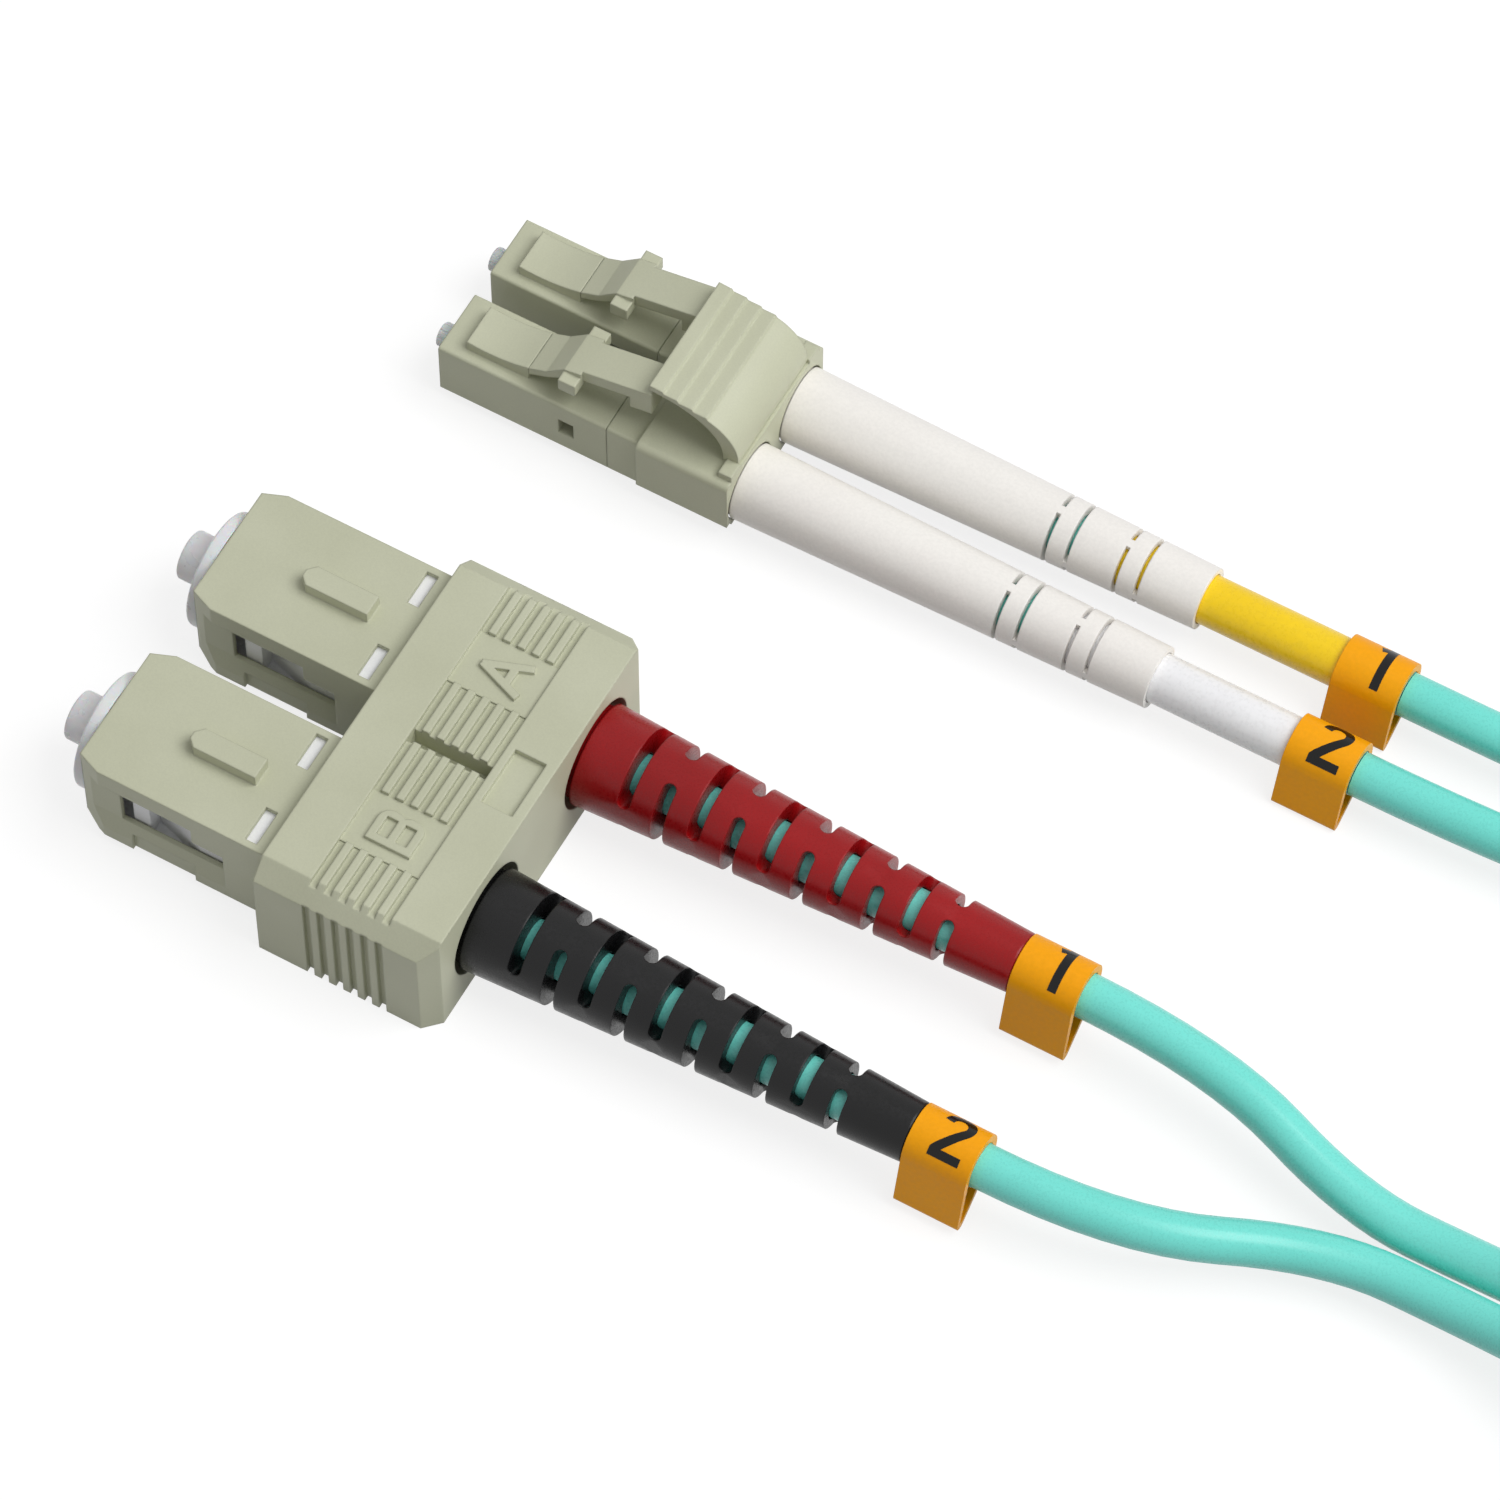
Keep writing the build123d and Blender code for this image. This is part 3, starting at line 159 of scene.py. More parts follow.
def plastic(name, colour, darker, grain_mm=0.12, grain_depth=0.006, wave_mm=7.0,
            rough=0.45, rough_spread=0.08, edge_mm=0.12, ior=1.5):
    """A plastic: the base colour drifts to a darker one, roughness follows the grain,
    and edges are rounded."""
    material, tree, output = blank_material(name)
    place = add(tree, "ShaderNodeTexCoord").outputs["Object"]
    grain = add(tree, "ShaderNodeTexNoise", {"Vector": place, "Scale": 1 / (grain_mm * MM),
                                             "Detail": 3.0, "Roughness": 0.55})
    wave = add(tree, "ShaderNodeTexNoise", {"Vector": place, "Scale": 1 / (wave_mm * MM),
                                            "Detail": 2.0})
    tone = ramp(tree, wave.outputs["Fac"], [(0.3, linear(darker)), (0.7, linear(colour))])
    speck = ramp(tree, grain.outputs["Fac"], [(0.35, speck_dark), (0.65, speck_light)])
    # A Mix node has sockets named A and B for each kind of value: 6 and 7 are colours.
    mixed = add(tree, "ShaderNodeMix", {"Factor": 1.0, 6: tone, 7: speck},
                data_type="RGBA", blend_type="MULTIPLY")
    gloss = add(tree, "ShaderNodeMapRange", {
        "Value": grain.outputs["Fac"], "From Min": 0.3, "From Max": 0.7,
        "To Min": rough - rough_spread, "To Max": rough + rough_spread})
    rounded = add(tree, "ShaderNodeBevel", {"Radius": edge_mm * MM}, samples=6)
    waves = add(tree, "ShaderNodeBump", {
        "Height": wave.outputs["Fac"], "Strength": 0.25, "Distance": shrink_depth,
        "Normal": rounded.outputs["Normal"]})
    bump = add(tree, "ShaderNodeBump", {
        "Height": grain.outputs["Fac"], "Strength": 0.5, "Distance": grain_depth * MM,
        "Normal": waves.outputs["Normal"]})
    shader = add(tree, "ShaderNodeBsdfPrincipled", {
        "Base Color": mixed.outputs[2], "Roughness": gloss.outputs["Result"],
        "Normal": bump.outputs["Normal"], "IOR": ior})
    tree.links.new(shader.outputs[0], output.inputs["Surface"])
    return material


# ABS, injection moulded with a fine spark-eroded grain: matt, with soft highlights.
abs_beige = plastic("abs_beige_moulded", "#C7C9B0", "#BFC1A7", rough=0.5, edge_mm=0.18)
# PBT, injection moulded in a polished mould: whiter and a little glossier.
pbt_white = plastic("pbt_white_moulded", "#FAFAFC", "#F2F3F6", rough=0.38, grain_depth=0.003)
print("moulded:", abs_beige.name, pbt_white.name)

# %% [markdown]
# ## Rubber, sleeves and jacket
#
# The bend reliefs are a rubbery thermoplastic with a satin skin, the sleeves are
# heat-shrink tube, the tags are a coated film and the cable's jacket is extruded. All
# are plastics too, so the same recipe serves, and only the grain, the gloss and the
# edges change. Rubber reflects less than hard plastic, so its IOR is lower, and its
# colour stays deep.

# %% Materials of the flexible parts
satin = dict(rough=0.3, wave_mm=9, grain_mm=0.2, edge_mm=0.15, ior=1.36)
# TPE, a thermoplastic rubber, injection moulded: satin and deep in colour.
tpe_red = plastic("tpe_red_satin", "#9F0F14", "#900C10", **satin)
tpe_black = plastic("tpe_black_satin", "#141415", "#101011", **satin)
tpe_white = plastic("tpe_white_satin", "#FAF7F2", "#F7F3EE", rough=0.36, wave_mm=10,
                    grain_mm=0.2, grain_depth=0.003)
# Polyolefin heat-shrink sleeve, smooth from the hot gun.
shrunk = dict(rough=0.3, grain_mm=0.3, grain_depth=0.003)
sleeve_yellow = plastic("polyolefin_sleeve_yellow", "#FFD800", "#F8CF00", **shrunk)
sleeve_white = plastic("polyolefin_sleeve_white", "#FBFBFC", "#F5F5F7", **shrunk)
# Polyester number tag, printed and folded round the cable: flat, with sharp edges.
tag_orange = plastic("polyester_tag_orange", "#FFAE0A", "#FEA806", rough=0.4, grain_mm=0.25,
                     edge_mm=0.06, ior=1.3)
# Halogen-free compound, extruded hot over the fibre: satin, with a faint orange peel.
jacket_aqua = plastic("jacket_aqua_extruded", "#7BE9DD", "#73E3D6", rough=0.3, grain_mm=0.18,
                      grain_depth=0.003, wave_mm=12, edge_mm=0.02)
# Screen ink on the tags: thin and a little glossy.
print_black = plastic("ink_black_printed", "#0A0A0A", "#060606", rough=0.2, ior=1.36,
                      grain_mm=0.1, grain_depth=0.002)
print("flexible:", tpe_red.name, tpe_black.name, tpe_white.name, jacket_aqua.name)

# %% [markdown]
# ## Ceramic and metal
#
# The fibre ends in a ferrule of zirconia, a white ceramic that is ground and polished
# until it shines like china. Behind it sit turned brass with nickel plating and a
# drawn steel spring. Turning leaves rings, so the noise of the metal is squeezed along
# the axis and stretched round it.

# %% Ferrule and metal materials
# Zirconia, ground and polished: white, hard and glossy, with a high IOR.
zirconia = plastic("zirconia_polished", "#F4F3EE", "#EFEEE8", rough=0.12, rough_spread=0.03,
                   grain_mm=0.05, grain_depth=0.0005, ior=2.1)


def turned_metal(name, colour, rough, ring_mm=0.08):
    """A turned metal: rings round the X axis come from noise that changes along X."""
    material, tree, output = blank_material(name)
    place = add(tree, "ShaderNodeTexCoord").outputs["Object"]
    along = add(tree, "ShaderNodeMapping", {"Vector": place, "Scale": (1.0, 0.05, 0.05)})
    rings = add(tree, "ShaderNodeTexNoise", {"Vector": along.outputs["Vector"],
                                             "Scale": 1 / (ring_mm * MM), "Detail": 2.0})
    gloss = add(tree, "ShaderNodeMapRange", {
        "Value": rings.outputs["Fac"], "From Min": 0.3, "From Max": 0.7,
        "To Min": rough - 0.08, "To Max": rough + 0.08})
    bump = add(tree, "ShaderNodeBump", {"Height": rings.outputs["Fac"], "Strength": 0.4,
                                        "Distance": 0.004 * MM})
    shader = add(tree, "ShaderNodeBsdfPrincipled", {
        "Base Color": linear(colour), "Metallic": 1.0,
        "Roughness": gloss.outputs["Result"], "Normal": bump.outputs["Normal"]})
    tree.links.new(shader.outputs[0], output.inputs["Surface"])
    return material


# Brass, turned and nickel plated: warm grey with fine rings.
nickel = turned_metal("nickel_plated_brass_turned", "#C9C5BC", 0.28)
# Spring steel, drawn through a die: the marks of drawing are coarser.
spring_steel = turned_metal("spring_steel_drawn", "#A6A6A4", 0.32, ring_mm=0.3)
print("ceramic and metal:", zirconia.name, nickel.name, spring_steel.name)

# %% [markdown]
# ## Milky dust caps
#
# The dust caps are natural polyethylene. Light goes in and is scattered, so the cap is
# milky and its thin edges look clearer than its middle. Plain glass would look hard
# and plain white would look like paint, so a little transmission and a little
# subsurface scattering share the work.

# %% Cap material
def soft_clear(name, colour, darker):
    """Natural polyethylene: milky, part clear, with faint flow lines from the gate."""
    material, tree, output = blank_material(name)
    place = add(tree, "ShaderNodeTexCoord").outputs["Object"]
    flow = add(tree, "ShaderNodeTexNoise", {"Vector": place, "Scale": 1 / (1.5 * MM),
                                            "Detail": 3.0})
    tone = ramp(tree, flow.outputs["Fac"], [(0.3, linear(darker)), (0.7, linear(colour))])
    gloss = add(tree, "ShaderNodeMapRange", {"Value": flow.outputs["Fac"],
                                             "To Min": 0.22, "To Max": 0.36})
    rounded = add(tree, "ShaderNodeBevel", {"Radius": 0.08 * MM}, samples=6)
    bump = add(tree, "ShaderNodeBump", {
        "Height": flow.outputs["Fac"], "Strength": 0.3, "Distance": 0.02 * MM,
        "Normal": rounded.outputs["Normal"]})
    shader = add(tree, "ShaderNodeBsdfPrincipled", {
        "Base Color": tone, "Roughness": gloss.outputs["Result"],
        "Normal": bump.outputs["Normal"], "IOR": 1.51, "Transmission Weight": 0.15,
        "Subsurface Weight": 0.3, "Subsurface Scale": 0.8 * MM})
    tree.links.new(shader.outputs[0], output.inputs["Surface"])
    return material


# Low-density polyethylene without dye, injection moulded: waxy and half clear.
cap_clear = soft_clear("polyethylene_natural_moulded", "#FBFBFC", "#F2F3F5")
print("caps:", cap_clear.name)

# %% [markdown]
# ## Dressing the CAD parts
#
# A rigid CAD part already has its right shape, so it only changes its material.
# The part's name says which finish it takes: the longest key that starts the name
# wins, so one key can serve a pair of parts and another can pick out one of them.

# %% Materials on the CAD parts
finishes = {
    "sc_grip": abs_beige, "sc_duplex_clip": abs_beige, "sc_inner_frame": pbt_white,
    "sc_ferrule_flange": nickel, "sc_ferrule": zirconia, "sc_spring": spring_steel,
    "sc_rear_body": nickel, "sc_crimp_ring": nickel, "sc_boot_1": tpe_red,
    "sc_boot_2": tpe_black, "sc_dust_cap": cap_clear, "sc_marker_tag": tag_orange,
    "sc_cable_end": jacket_aqua,
    "lc_housing": abs_beige, "lc_latch": abs_beige, "lc_rear_body": abs_beige,
    "lc_duplex_clip": abs_beige, "lc_trigger": abs_beige, "lc_ferrule_flange": nickel,
    "lc_ferrule": zirconia, "lc_spring": spring_steel, "lc_crimp_sleeve": nickel,
    "lc_boot": tpe_white, "lc_dust_cap": cap_clear, "lc_colour_sleeve_1": sleeve_yellow,
    "lc_colour_sleeve_2": sleeve_white, "lc_marker_tag": tag_orange,
    "lc_cable_end": jacket_aqua,
}
for node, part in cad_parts.items():
    fitting = [key for key in finishes if node.startswith(key)]
    if fitting:
        part.data.materials.clear()
        part.data.materials.append(finishes[max(fitting, key=len)])
print(len(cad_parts), "CAD parts,", len(finishes), "finishes given")

# %% [markdown]
# ## The cable
#
# Each leg is one piece of cable from an LC tag to an SC tag. A NURBS curve is the
# natural tool: its points pull the line towards them without making corners, as a
# springy cable would lie. The photograph shows only the two ends, so the rest of
# the leg is wound as for storage, in a flat spiral of two layers that lies outside
# the picture, and each turn is more points of the same curve.

# %% The ends that the photograph shows, in millimetres
cable_d = 2.8
lc_leg_1 = [(45.4, 34.275, 3.05), (57.94, 34.275, 3.05), (72, 35.1, 2.4), (85.2, 37.9, 1.9),
            (97.11, 42.13, 1.9)]
lc_leg_2 = [(45.4, 28.025, 3.05), (57.94, 28.025, 3.05), (71, 30.2, 3.6), (84.6, 35.7, 4.7),
            (97.11, 42.13, 4.85)]
sc_leg_1 = [(38.8, 6.35, 4.5), (47.6, 6.35, 4.5), (58.2, 2.8, 2.6), (66.5, 2.9, 2.6),
            (75, 1.6, 5.9), (84, -0.6, 7.8), (93.6, -3.2, 7.85), (102.55, -4.95, 7.0),
            (113.01, -5.02, 4.0), (121.92, 0.08, 1.9)]
sc_leg_2 = [(38.8, -6.35, 4.5), (47.6, -6.35, 4.5), (58.2, -0.4, 2.6), (67, -0.25, 2.6),
            (75.5, -1.9, 5.9), (84.5, -4.6, 7.8), (94, -7.3, 7.85), (102.8, -9.6, 7.9),
            (112, -9.0, 7.9), (119.6, -4.2, 7.7), (124.6, 2.2, 6.1), (127.27, 8.6, 4.85)]
print("points at the ends:", len(lc_leg_1), len(lc_leg_2), len(sc_leg_1), len(sc_leg_2))

# %% The coil between them
coil_middle = (108.8, 13.2)
coil_outer_r = 31.2
coil_pitch = 2.85
coil_start = 112.0
points_per_turn = 20
coil_waver = 0.004
low_layer, high_layer = 1.9, 4.85
low_sweep, high_sweep = 1597, 1560


def spiral(sweep, height):
    """Points of a flat spiral wound clockwise: radius = outer - pitch * turned / 360,
    over the cosine of half a step, because the curve runs inside its points."""
    step = 360 / points_per_turn
    turned = np.arange(step, sweep - step / 2, step)
    radius = (coil_outer_r - coil_pitch * turned / 360) / cos(radians(step / 2))
    radius = radius * (1 + coil_waver * np.sin(np.radians(2 * turned)))
    angle = np.radians(coil_start - turned)
    return np.stack([coil_middle[0] + radius * np.cos(angle),
                     coil_middle[1] + radius * np.sin(angle),
                     np.full_like(angle, height)], axis=1).tolist()


route_1 = lc_leg_1 + spiral(low_sweep, low_layer) + sc_leg_1[::-1]
route_2 = lc_leg_2 + spiral(high_sweep, high_layer) + sc_leg_2[::-1]
print("points on each route:", len(route_1), len(route_2))

# %% [markdown]
# ## From a route to a cable
#
# The curve gets a round section of half the cable's diameter. Its order is set
# after its points are there, because an order without points falls back to straight
# runs. The length that the curve really has is measured and printed.

# %% Cable curves
def cable(name, route):
    """A NURBS curve of order 3 through the pull of its route's points."""
    data = bpy.data.curves.new(name, "CURVE")
    data.dimensions = "3D"
    line = data.splines.new("NURBS")
    line.points.add(len(route) - 1)
    line.points.foreach_set("co", np.c_[np.array(route) * MM, np.ones(len(route))].ravel())
    line.order_u = 3
    line.use_endpoint_u = True
    line.resolution_u = 8
    data.resolution_u = 8
    piece = bpy.data.objects.new(name, data)
    bpy.context.scene.collection.objects.link(piece)
    return piece


def centreline_length(piece):
    """The sum of the steps along a curve's own line, read while it has no section."""
    bpy.context.view_layer.update()
    mesh = bpy.data.meshes.new_from_object(
        piece.evaluated_get(bpy.context.evaluated_depsgraph_get()))
    points = np.zeros(len(mesh.vertices) * 3)
    mesh.vertices.foreach_get("co", points)
    bpy.data.meshes.remove(mesh)
    return float(np.linalg.norm(np.diff(points.reshape(-1, 3), axis=0), axis=1).sum())


for i, route in ((1, route_1), (2, route_2)):
    leg = cable(f"cord_{i}", route)
    run = centreline_length(leg)
    leg.data.bevel_depth = cable_d / 2 * MM
    leg.data.bevel_resolution = 6
    leg.data.materials.append(jacket_aqua)
    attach(leg, "root")
    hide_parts(f"cord_{i}_lc_leg", f"cord_{i}_sc_leg", "cable_coil")
    print(f"leg {i}: {run / MM:.0f} mm of free cable")

# %% [markdown]
# ## The printed numbers
#
# Each tag carries the number of its leg, so that both ends of one fibre can be told
# apart. The print is a thin film of ink that follows the tag round the cable. Blender
# could bend a text object, but its letters would need a font. Here a stroke is drawn
# flat as a line, widened to a strip, and then rolled on: its height on the label
# becomes an angle round the cable.

# %% Lines and strips
tag_r = 1.95
ink_lift = 0.015
stroke_w = 0.56
strip_columns = 5


def arc_line(middle, radius, start, end, count=18):
    """Points on a circle: middle + radius * (cos a, sin a), with a in degrees from
    start to end."""
    angle = np.radians(np.linspace(start, end, count))
    return np.stack([middle[0] + radius * np.cos(angle),
                     middle[1] + radius * np.sin(angle)], axis=1)


def unit_run(line):
    """The direction of a flat line at each of its points, one long."""
    run = np.gradient(line, axis=0)
    return run / np.linalg.norm(run, axis=1, keepdims=True)


def strip(line, width):
    """A strip round a line: each point moved sideways by s * width, with s from -0.5
    to 0.5."""
    run = unit_run(line)
    side = np.stack([-run[:, 1], run[:, 0]], axis=1)
    step = np.linspace(-0.5, 0.5, strip_columns)[None, :, None] * width
    return line[:, None, :] + side[:, None, :] * step


def rolled(grid, x_middle, y_axis, z_axis):
    """Flat label points rolled on the tag: x = u, angle = v / radius, y = sin and
    z = cos of it times the radius."""
    radius = tag_r + ink_lift
    angle = grid[..., 1] / tag_r
    return np.stack([x_middle + grid[..., 0], y_axis + radius * np.sin(angle),
                     z_axis + radius * np.cos(angle)], axis=-1)


print("a stroke is", stroke_w, "mm wide on a tag of radius", tag_r, "mm")

# %% Meshes from arrays of points
def grid_faces(rows, columns, first=0):
    """Quads between neighbours of a grid whose points are numbered row by row."""
    corner = np.arange(rows * columns).reshape(rows, columns) + first
    quads = np.stack([corner[:-1, :-1], corner[:-1, 1:], corner[1:, 1:], corner[1:, :-1]],
                     axis=-1)
    return quads.reshape(-1, 4)


def mesh_piece(name, points, faces, material, body, smooth=True):
    """A mesh object from points in millimetres and faces, which rides on a body."""
    mesh = bpy.data.meshes.new(name)
    mesh.from_pydata((np.asarray(points).reshape(-1, 3) * MM).tolist(), [], list(faces))
    mesh.polygons.foreach_set("use_smooth", [smooth] * len(mesh.polygons))
    mesh.materials.append(material)
    piece = bpy.data.objects.new(name, mesh)
    bpy.context.scene.collection.objects.link(piece)
    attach(piece, body)
    return piece


print("a grid of 3 by 3 points has", len(grid_faces(3, 3)), "faces")

# %% Strokes of a 1 and a 2
number_h = 3.5
number_w = 2.0
stem_x, flag_tip_x = 0.22, -0.48
flag_start_drop, flag_tip_drop = 0.1, 0.35
bow_start, bow_end = 178, -30
knee_in, knee_up = 0.02, 0.25


def number_strokes(number):
    """Centre lines of a 1 or a 2, standing on its foot, with its middle at zero."""
    top, foot = number_h / 2, -number_h / 2
    half = stroke_w / 2
    if number == 1:
        stem = np.linspace((stem_x, foot), (stem_x, top), 16)
        flag = np.linspace((stem_x, top - half - flag_start_drop),
                           (flag_tip_x, top - half - flag_tip_drop), 6)
        return [stem, flag]
    left = -number_w / 2 + half
    bow_r = number_w / 2 - half
    bow = arc_line((0, top - half - bow_r), bow_r, bow_start, bow_end)
    slope = np.linspace(bow[-1], (left + knee_in, foot + half + knee_up), 12)[1:]
    base = np.linspace((-number_w / 2, foot + half), (number_w / 2, foot + half), 8)
    return [np.vstack([bow, slope, [(left, foot + half / 2)]]), base]


print("strokes of the numbers:", len(number_strokes(1)), "and", len(number_strokes(2)))

# %% Printing the tags
number_drop = 0.1
number_shift = 0.3


def print_number(name, number, x_middle, y_axis, z_axis):
    """The strokes of a number as one mesh on its tag."""
    points, faces, first = [], [], 0
    for line in number_strokes(number):
        line = line + np.array([0, number_drop])
        grid = rolled(strip(line, stroke_w), x_middle, y_axis, z_axis)
        faces.append(grid_faces(grid.shape[0], grid.shape[1], first)[:, ::-1])
        points.append(grid.reshape(-1, 3))
        first += grid.shape[0] * grid.shape[1]
    mesh_piece(name, np.vstack(points), np.vstack(faces).tolist(), print_black, "root")


for end in ("sc", "lc"):
    for number in (1, 2):
        low, high = (np.array(corner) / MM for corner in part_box(f"{end}_marker_tag_{number}"))
        print_number(f"{end}_number_{number}", number, (low[0] + high[0]) / 2 + number_shift,
                     high[1] - tag_r, high[2] - tag_r)
print("numbers printed on four tags")

# %% [markdown]
# ## The strap round the coil
#
# A hook-and-loop strap keeps the wound cable together. It is a woven nylon tape that
# goes once round the bundle and ends on top of itself. A bent box would do for the
# shape, but not for the end that lies on the beginning, so a thin section is carried
# along a path. The path is a rounded rectangle that runs past its own start, and the
# last part is lifted by the thickness of the tape.

# %% Path of the strap, seen from its side
strap_x = (125.05, 141.55)
strap_z = (0.4, 6.35)
strap_round = 1.1
strap_overlap = 4.5
run_points, corner_points, last_points = 12, 12, 24


def loop_path():
    """Rounded rectangle from the middle of its top round and past it: straight runs
    joined by quarter circles."""
    (x0, x1), (z0, z1), r = strap_x, strap_z, strap_round
    start = ((x0 + x1) / 2, z1)
    corners = (((x1 - r, z1 - r), 90), ((x1 - r, z0 + r), 0),
               ((x0 + r, z0 + r), -90), ((x0 + r, z1 - r), -180))
    runs = [np.linspace(start, (x1 - r, z1), run_points)]
    runs += [arc_line(middle, r, first, first - 90, corner_points)[1:]
             for middle, first in corners]
    runs.append(np.linspace((x0 + r, z1), (start[0] + strap_overlap, z1), last_points)[1:])
    return np.vstack(runs)


path = loop_path()
print("strap path of", len(path), "points")

# %% Tape along the path
strap_y = 13.2
strap_w = 6.0
strap_t = 0.4
strap_gap = 0.04
rise_from_end, rise_points = 16, 8


def thin_tape(path):
    """A tape with thickness along a path; its end rises over its start by the smooth
    step t * t * (3 - 2 * t)."""
    run = unit_run(path)
    out = np.stack([-run[:, 1], run[:, 0]], axis=1)
    past = np.clip((np.arange(len(path)) - len(path) + rise_from_end) / rise_points, 0, 1)
    lift = (strap_t + strap_gap) * past ** 2 * (3 - 2 * past)
    rows = []
    for side, height in ((-1, 0), (1, 0), (1, strap_t), (-1, strap_t)):
        flat = path + out * (height + lift)[:, None]
        edge = np.full(len(path), strap_y + side * strap_w / 2)
        rows.append(np.c_[flat[:, 0], edge, flat[:, 1]])
    return np.stack(rows, axis=1)


def ring_faces(rows, columns):
    """Quads round a closed profile along a path, and one face over each end."""
    corner = np.arange(rows * columns).reshape(rows, columns)
    beside = np.roll(corner, -1, axis=1)
    quads = np.stack([corner[:-1], beside[:-1], beside[1:], corner[1:]], axis=-1)
    return quads.reshape(-1, 4).tolist() + [corner[0][::-1].tolist(), corner[-1].tolist()]


tape = thin_tape(path)
print("tape of", tape.shape[0], "sections with", tape.shape[1], "corners each")

# %% [markdown]
# ## Woven nylon
#
# The tape is woven from black nylon yarn, and its loops make a nap that catches light
# at the edges. The yarns really are about 0.2 mm thick, but they are drawn twice as
# coarse, so that the weave shows at all. Two waves at right angles, multiplied, give
# the crossed bands.

# %% The strap and its material
yarn_along, yarn_across = 0.5, 0.4
# A Wave texture repeats every 2 pi / 20 of its own units at a scale of one.
wave_period = pi / 10


# Nylon hook-and-loop tape, woven: dull, with a sheen from its nap.
def woven_nylon():
    """Black tape: crossed bands as thick as its yarns, under a fuzz of fine noise."""
    material, tree, output = blank_material("nylon_tape_woven")
    place = add(tree, "ShaderNodeTexCoord").outputs["Object"]
    along = add(tree, "ShaderNodeTexWave", {
        "Vector": place, "Scale": wave_period / (yarn_along * MM), "Distortion": 0.4},
        bands_direction="X")
    across = add(tree, "ShaderNodeTexWave", {
        "Vector": place, "Scale": wave_period / (yarn_across * MM), "Distortion": 0.4},
        bands_direction="Y")
    fuzz = add(tree, "ShaderNodeTexNoise", {"Vector": place, "Scale": 1 / (0.15 * MM),
                                            "Detail": 4.0})
    cloth = add(tree, "ShaderNodeMath", {0: along.outputs["Fac"], 1: across.outputs["Fac"]},
                operation="MULTIPLY")
    nap = add(tree, "ShaderNodeMath", {0: cloth.outputs[0], 1: fuzz.outputs["Fac"]},
              operation="ADD")
    tone = ramp(tree, nap.outputs[0], [(0.3, linear("#161617")), (0.9, linear("#2E2E30"))])
    bump = add(tree, "ShaderNodeBump", {"Height": nap.outputs[0], "Strength": 0.7,
                                        "Distance": 0.06 * MM})
    shader = add(tree, "ShaderNodeBsdfPrincipled", {
        "Base Color": tone, "Roughness": 0.85, "Normal": bump.outputs["Normal"],
        "Sheen Weight": 0.4, "Sheen Roughness": 0.5})
    tree.links.new(shader.outputs[0], output.inputs["Surface"])
    return material


strap = mesh_piece("coil_strap", tape, ring_faces(tape.shape[0], 4), woven_nylon(), "root",
                   smooth=False)
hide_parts("coil_tie")
print("strap of", len(strap.data.polygons), "faces")

# %% [markdown]
# ## Floor and background
#
# A studio picture like this one stands on white paper that runs up behind the object.
# Paper lit until it is white would also light the object from below and wash it out.
# So the floor and the world show white to the camera, and to what mirrors or passes
# light, but they light the object no more than grey card would. The floor keeps a
# faint shadow, so that the cable lies on something.

# %% Floor
def shows_backdrop(tree):
    """1 for a ray from the camera, from a mirror or through something clear, else 0."""
    ray = add(tree, "ShaderNodeLightPath").outputs
    direct = add(tree, "ShaderNodeMath", {0: ray["Is Camera Ray"],
                                          1: ray["Is Transmission Ray"]},
                 operation="MAXIMUM")
    return add(tree, "ShaderNodeMath", {0: direct.outputs[0], 1: ray["Is Glossy Ray"]},
               operation="MAXIMUM").outputs[0]


def flat(shade):
    """A grey colour with full alpha."""
    return (shade, shade, shade, 1)


card_grey, paper_white = 0.42, 0.95
glow_share, glow_strength = 0.72, 1.12
floor_half = 3.0


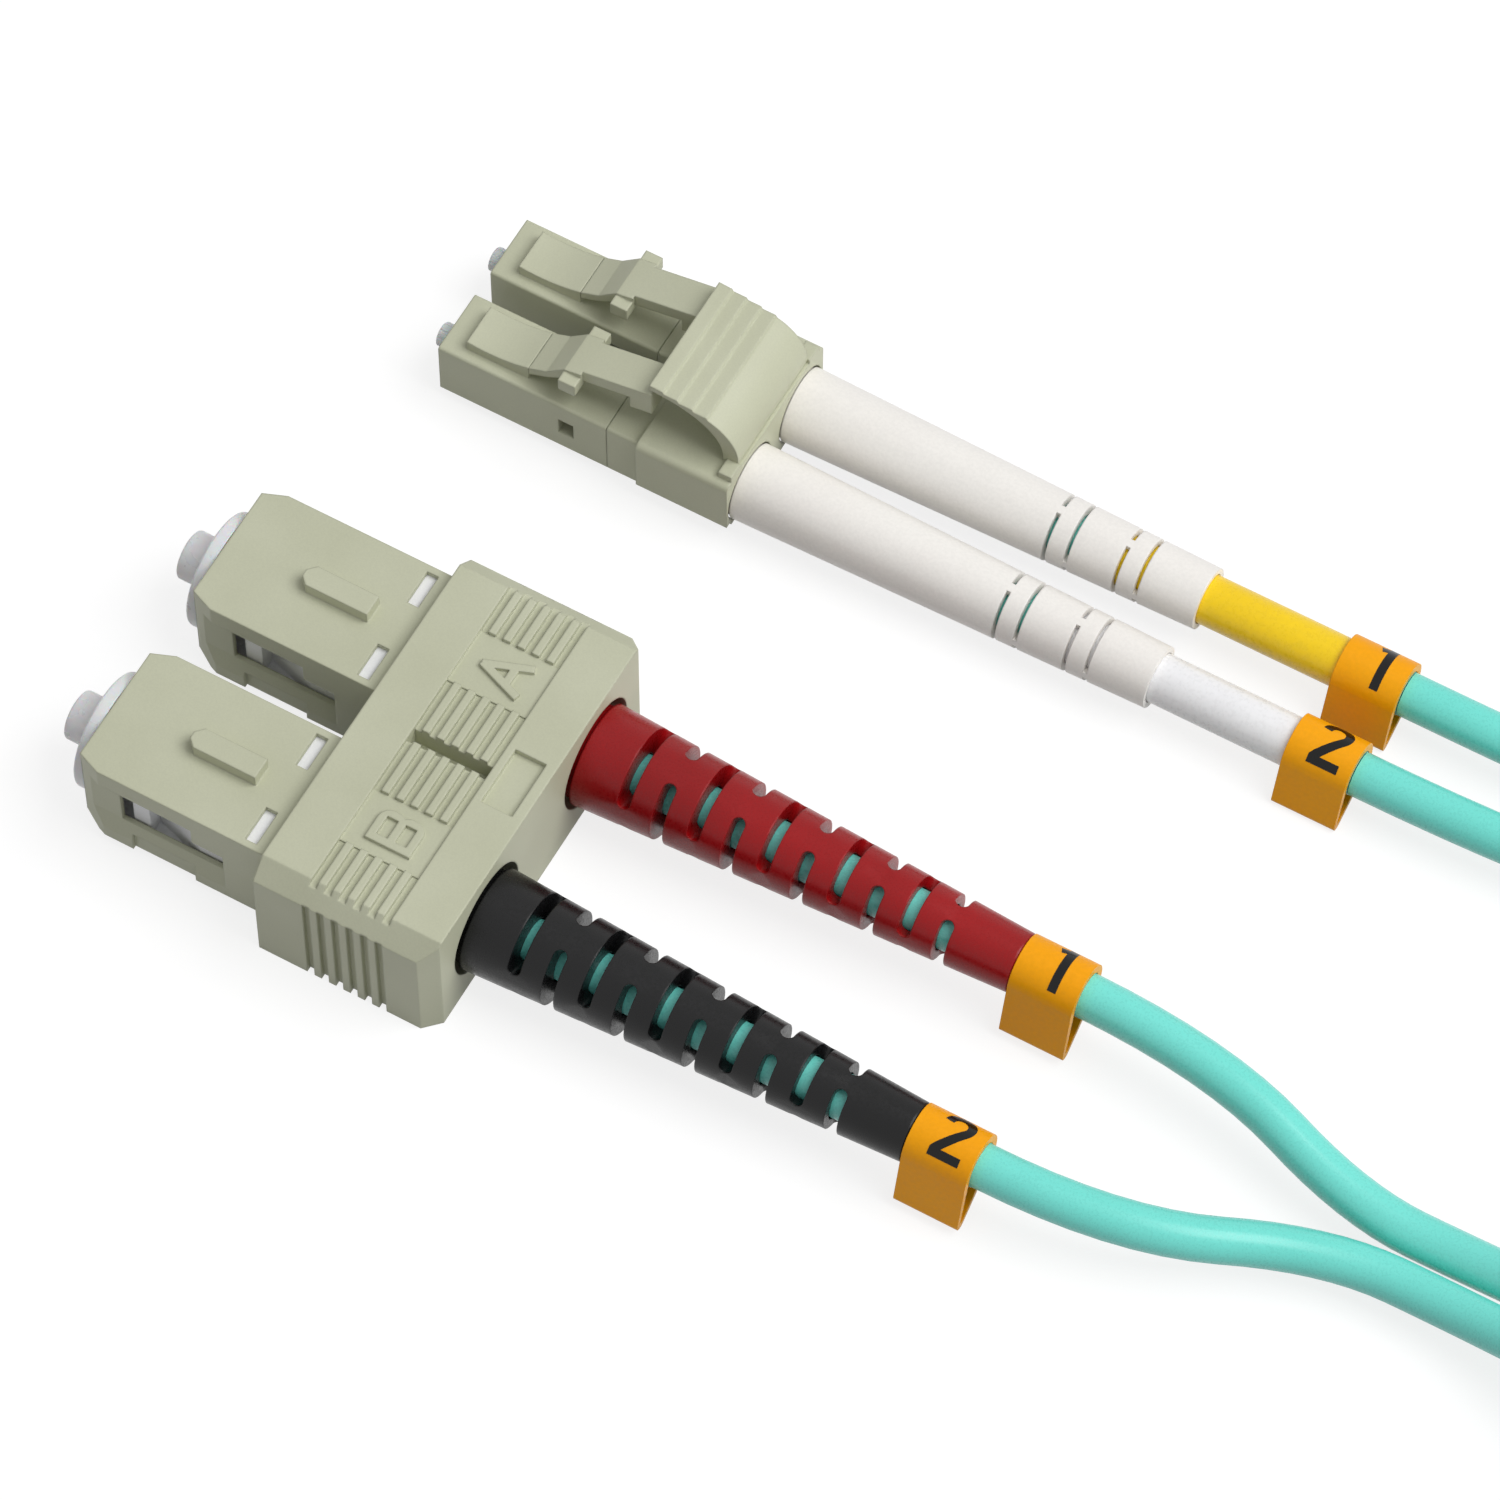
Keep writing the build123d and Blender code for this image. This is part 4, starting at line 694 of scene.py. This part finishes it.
# Studio paper, matt: white to the camera with a share of its own shadow.
def floor_material():
    """White for the camera with a share of its own shadow, grey card for other rays."""
    material, tree, output = blank_material("studio_floor_paper")
    shown = shows_backdrop(tree)
    share = add(tree, "ShaderNodeMath", {0: shown, 1: glow_share}, operation="MULTIPLY")
    card = add(tree, "ShaderNodeBsdfDiffuse", {"Color": flat(card_grey)})
    paper = add(tree, "ShaderNodeBsdfDiffuse", {"Color": flat(paper_white)})
    lit = add(tree, "ShaderNodeMixShader", {0: shown, 1: card.outputs[0], 2: paper.outputs[0]})
    glow = add(tree, "ShaderNodeEmission", {"Color": flat(1), "Strength": glow_strength})
    mixed = add(tree, "ShaderNodeMixShader", {0: share.outputs[0], 1: lit.outputs[0],
                                              2: glow.outputs[0]})
    tree.links.new(mixed.outputs[0], output.inputs["Surface"])
    return material


corners = np.array([(-1, -1, 0), (1, -1, 0), (1, 1, 0), (-1, 1, 0)]) * floor_half
floor_mesh = bpy.data.meshes.new("studio_floor")
floor_mesh.from_pydata(corners.tolist(), [], [(0, 1, 2, 3)])
floor = bpy.data.objects.new("studio_floor", floor_mesh)
bpy.context.scene.collection.objects.link(floor)
floor.data.materials.append(floor_material())
print("floor of", 2 * floor_half, "m")

# %% World
room_strength, backdrop_strength = 0.34, 1.0

world = bpy.data.worlds.new("studio_world")
bpy.context.scene.world = world
world.use_nodes = True
sky = world.node_tree
sky.nodes.clear()
strength = add(sky, "ShaderNodeMapRange", {
    "Value": shows_backdrop(sky), "To Min": room_strength, "To Max": backdrop_strength})
backdrop = add(sky, "ShaderNodeBackground", {"Color": flat(1),
                                             "Strength": strength.outputs["Result"]})
add(sky, "ShaderNodeOutputWorld", {"Surface": backdrop.outputs[0]})
print("the room lights with", room_strength, "of what it shows")

# %% [markdown]
# ## Light
#
# In the photograph the faces towards the cable are light and the faces towards the
# viewer are darker. So one large soft box stands high over the cable, on the camera's
# right, and a weak one stands low on the same side. An area lamp gives soft edges by
# its size alone.

# %% Lamps
look_at = (0.03, 0.01, 0.0)


def softbox(name, place, size, power):
    """A square area lamp that shines at the plugs."""
    lamp = bpy.data.lights.new(name, "AREA")
    lamp.shape = "SQUARE"
    lamp.size = size
    lamp.energy = power
    holder = bpy.data.objects.new(name, lamp)
    holder.location = place
    direction = Vector(look_at) - Vector(place)
    holder.rotation_mode = "QUATERNION"
    holder.rotation_quaternion = direction.to_track_quat("-Z", "Y")
    bpy.context.scene.collection.objects.link(holder)


softbox("key_softbox", (0.38, 0.14, 0.60), size=0.5, power=3.85)
softbox("side_softbox", (0.75, 0.15, 0.22), size=0.4, power=0.5)
bpy.context.scene.view_settings.view_transform = "Standard"
print("lamps:", [lamp.name for lamp in bpy.data.lights])
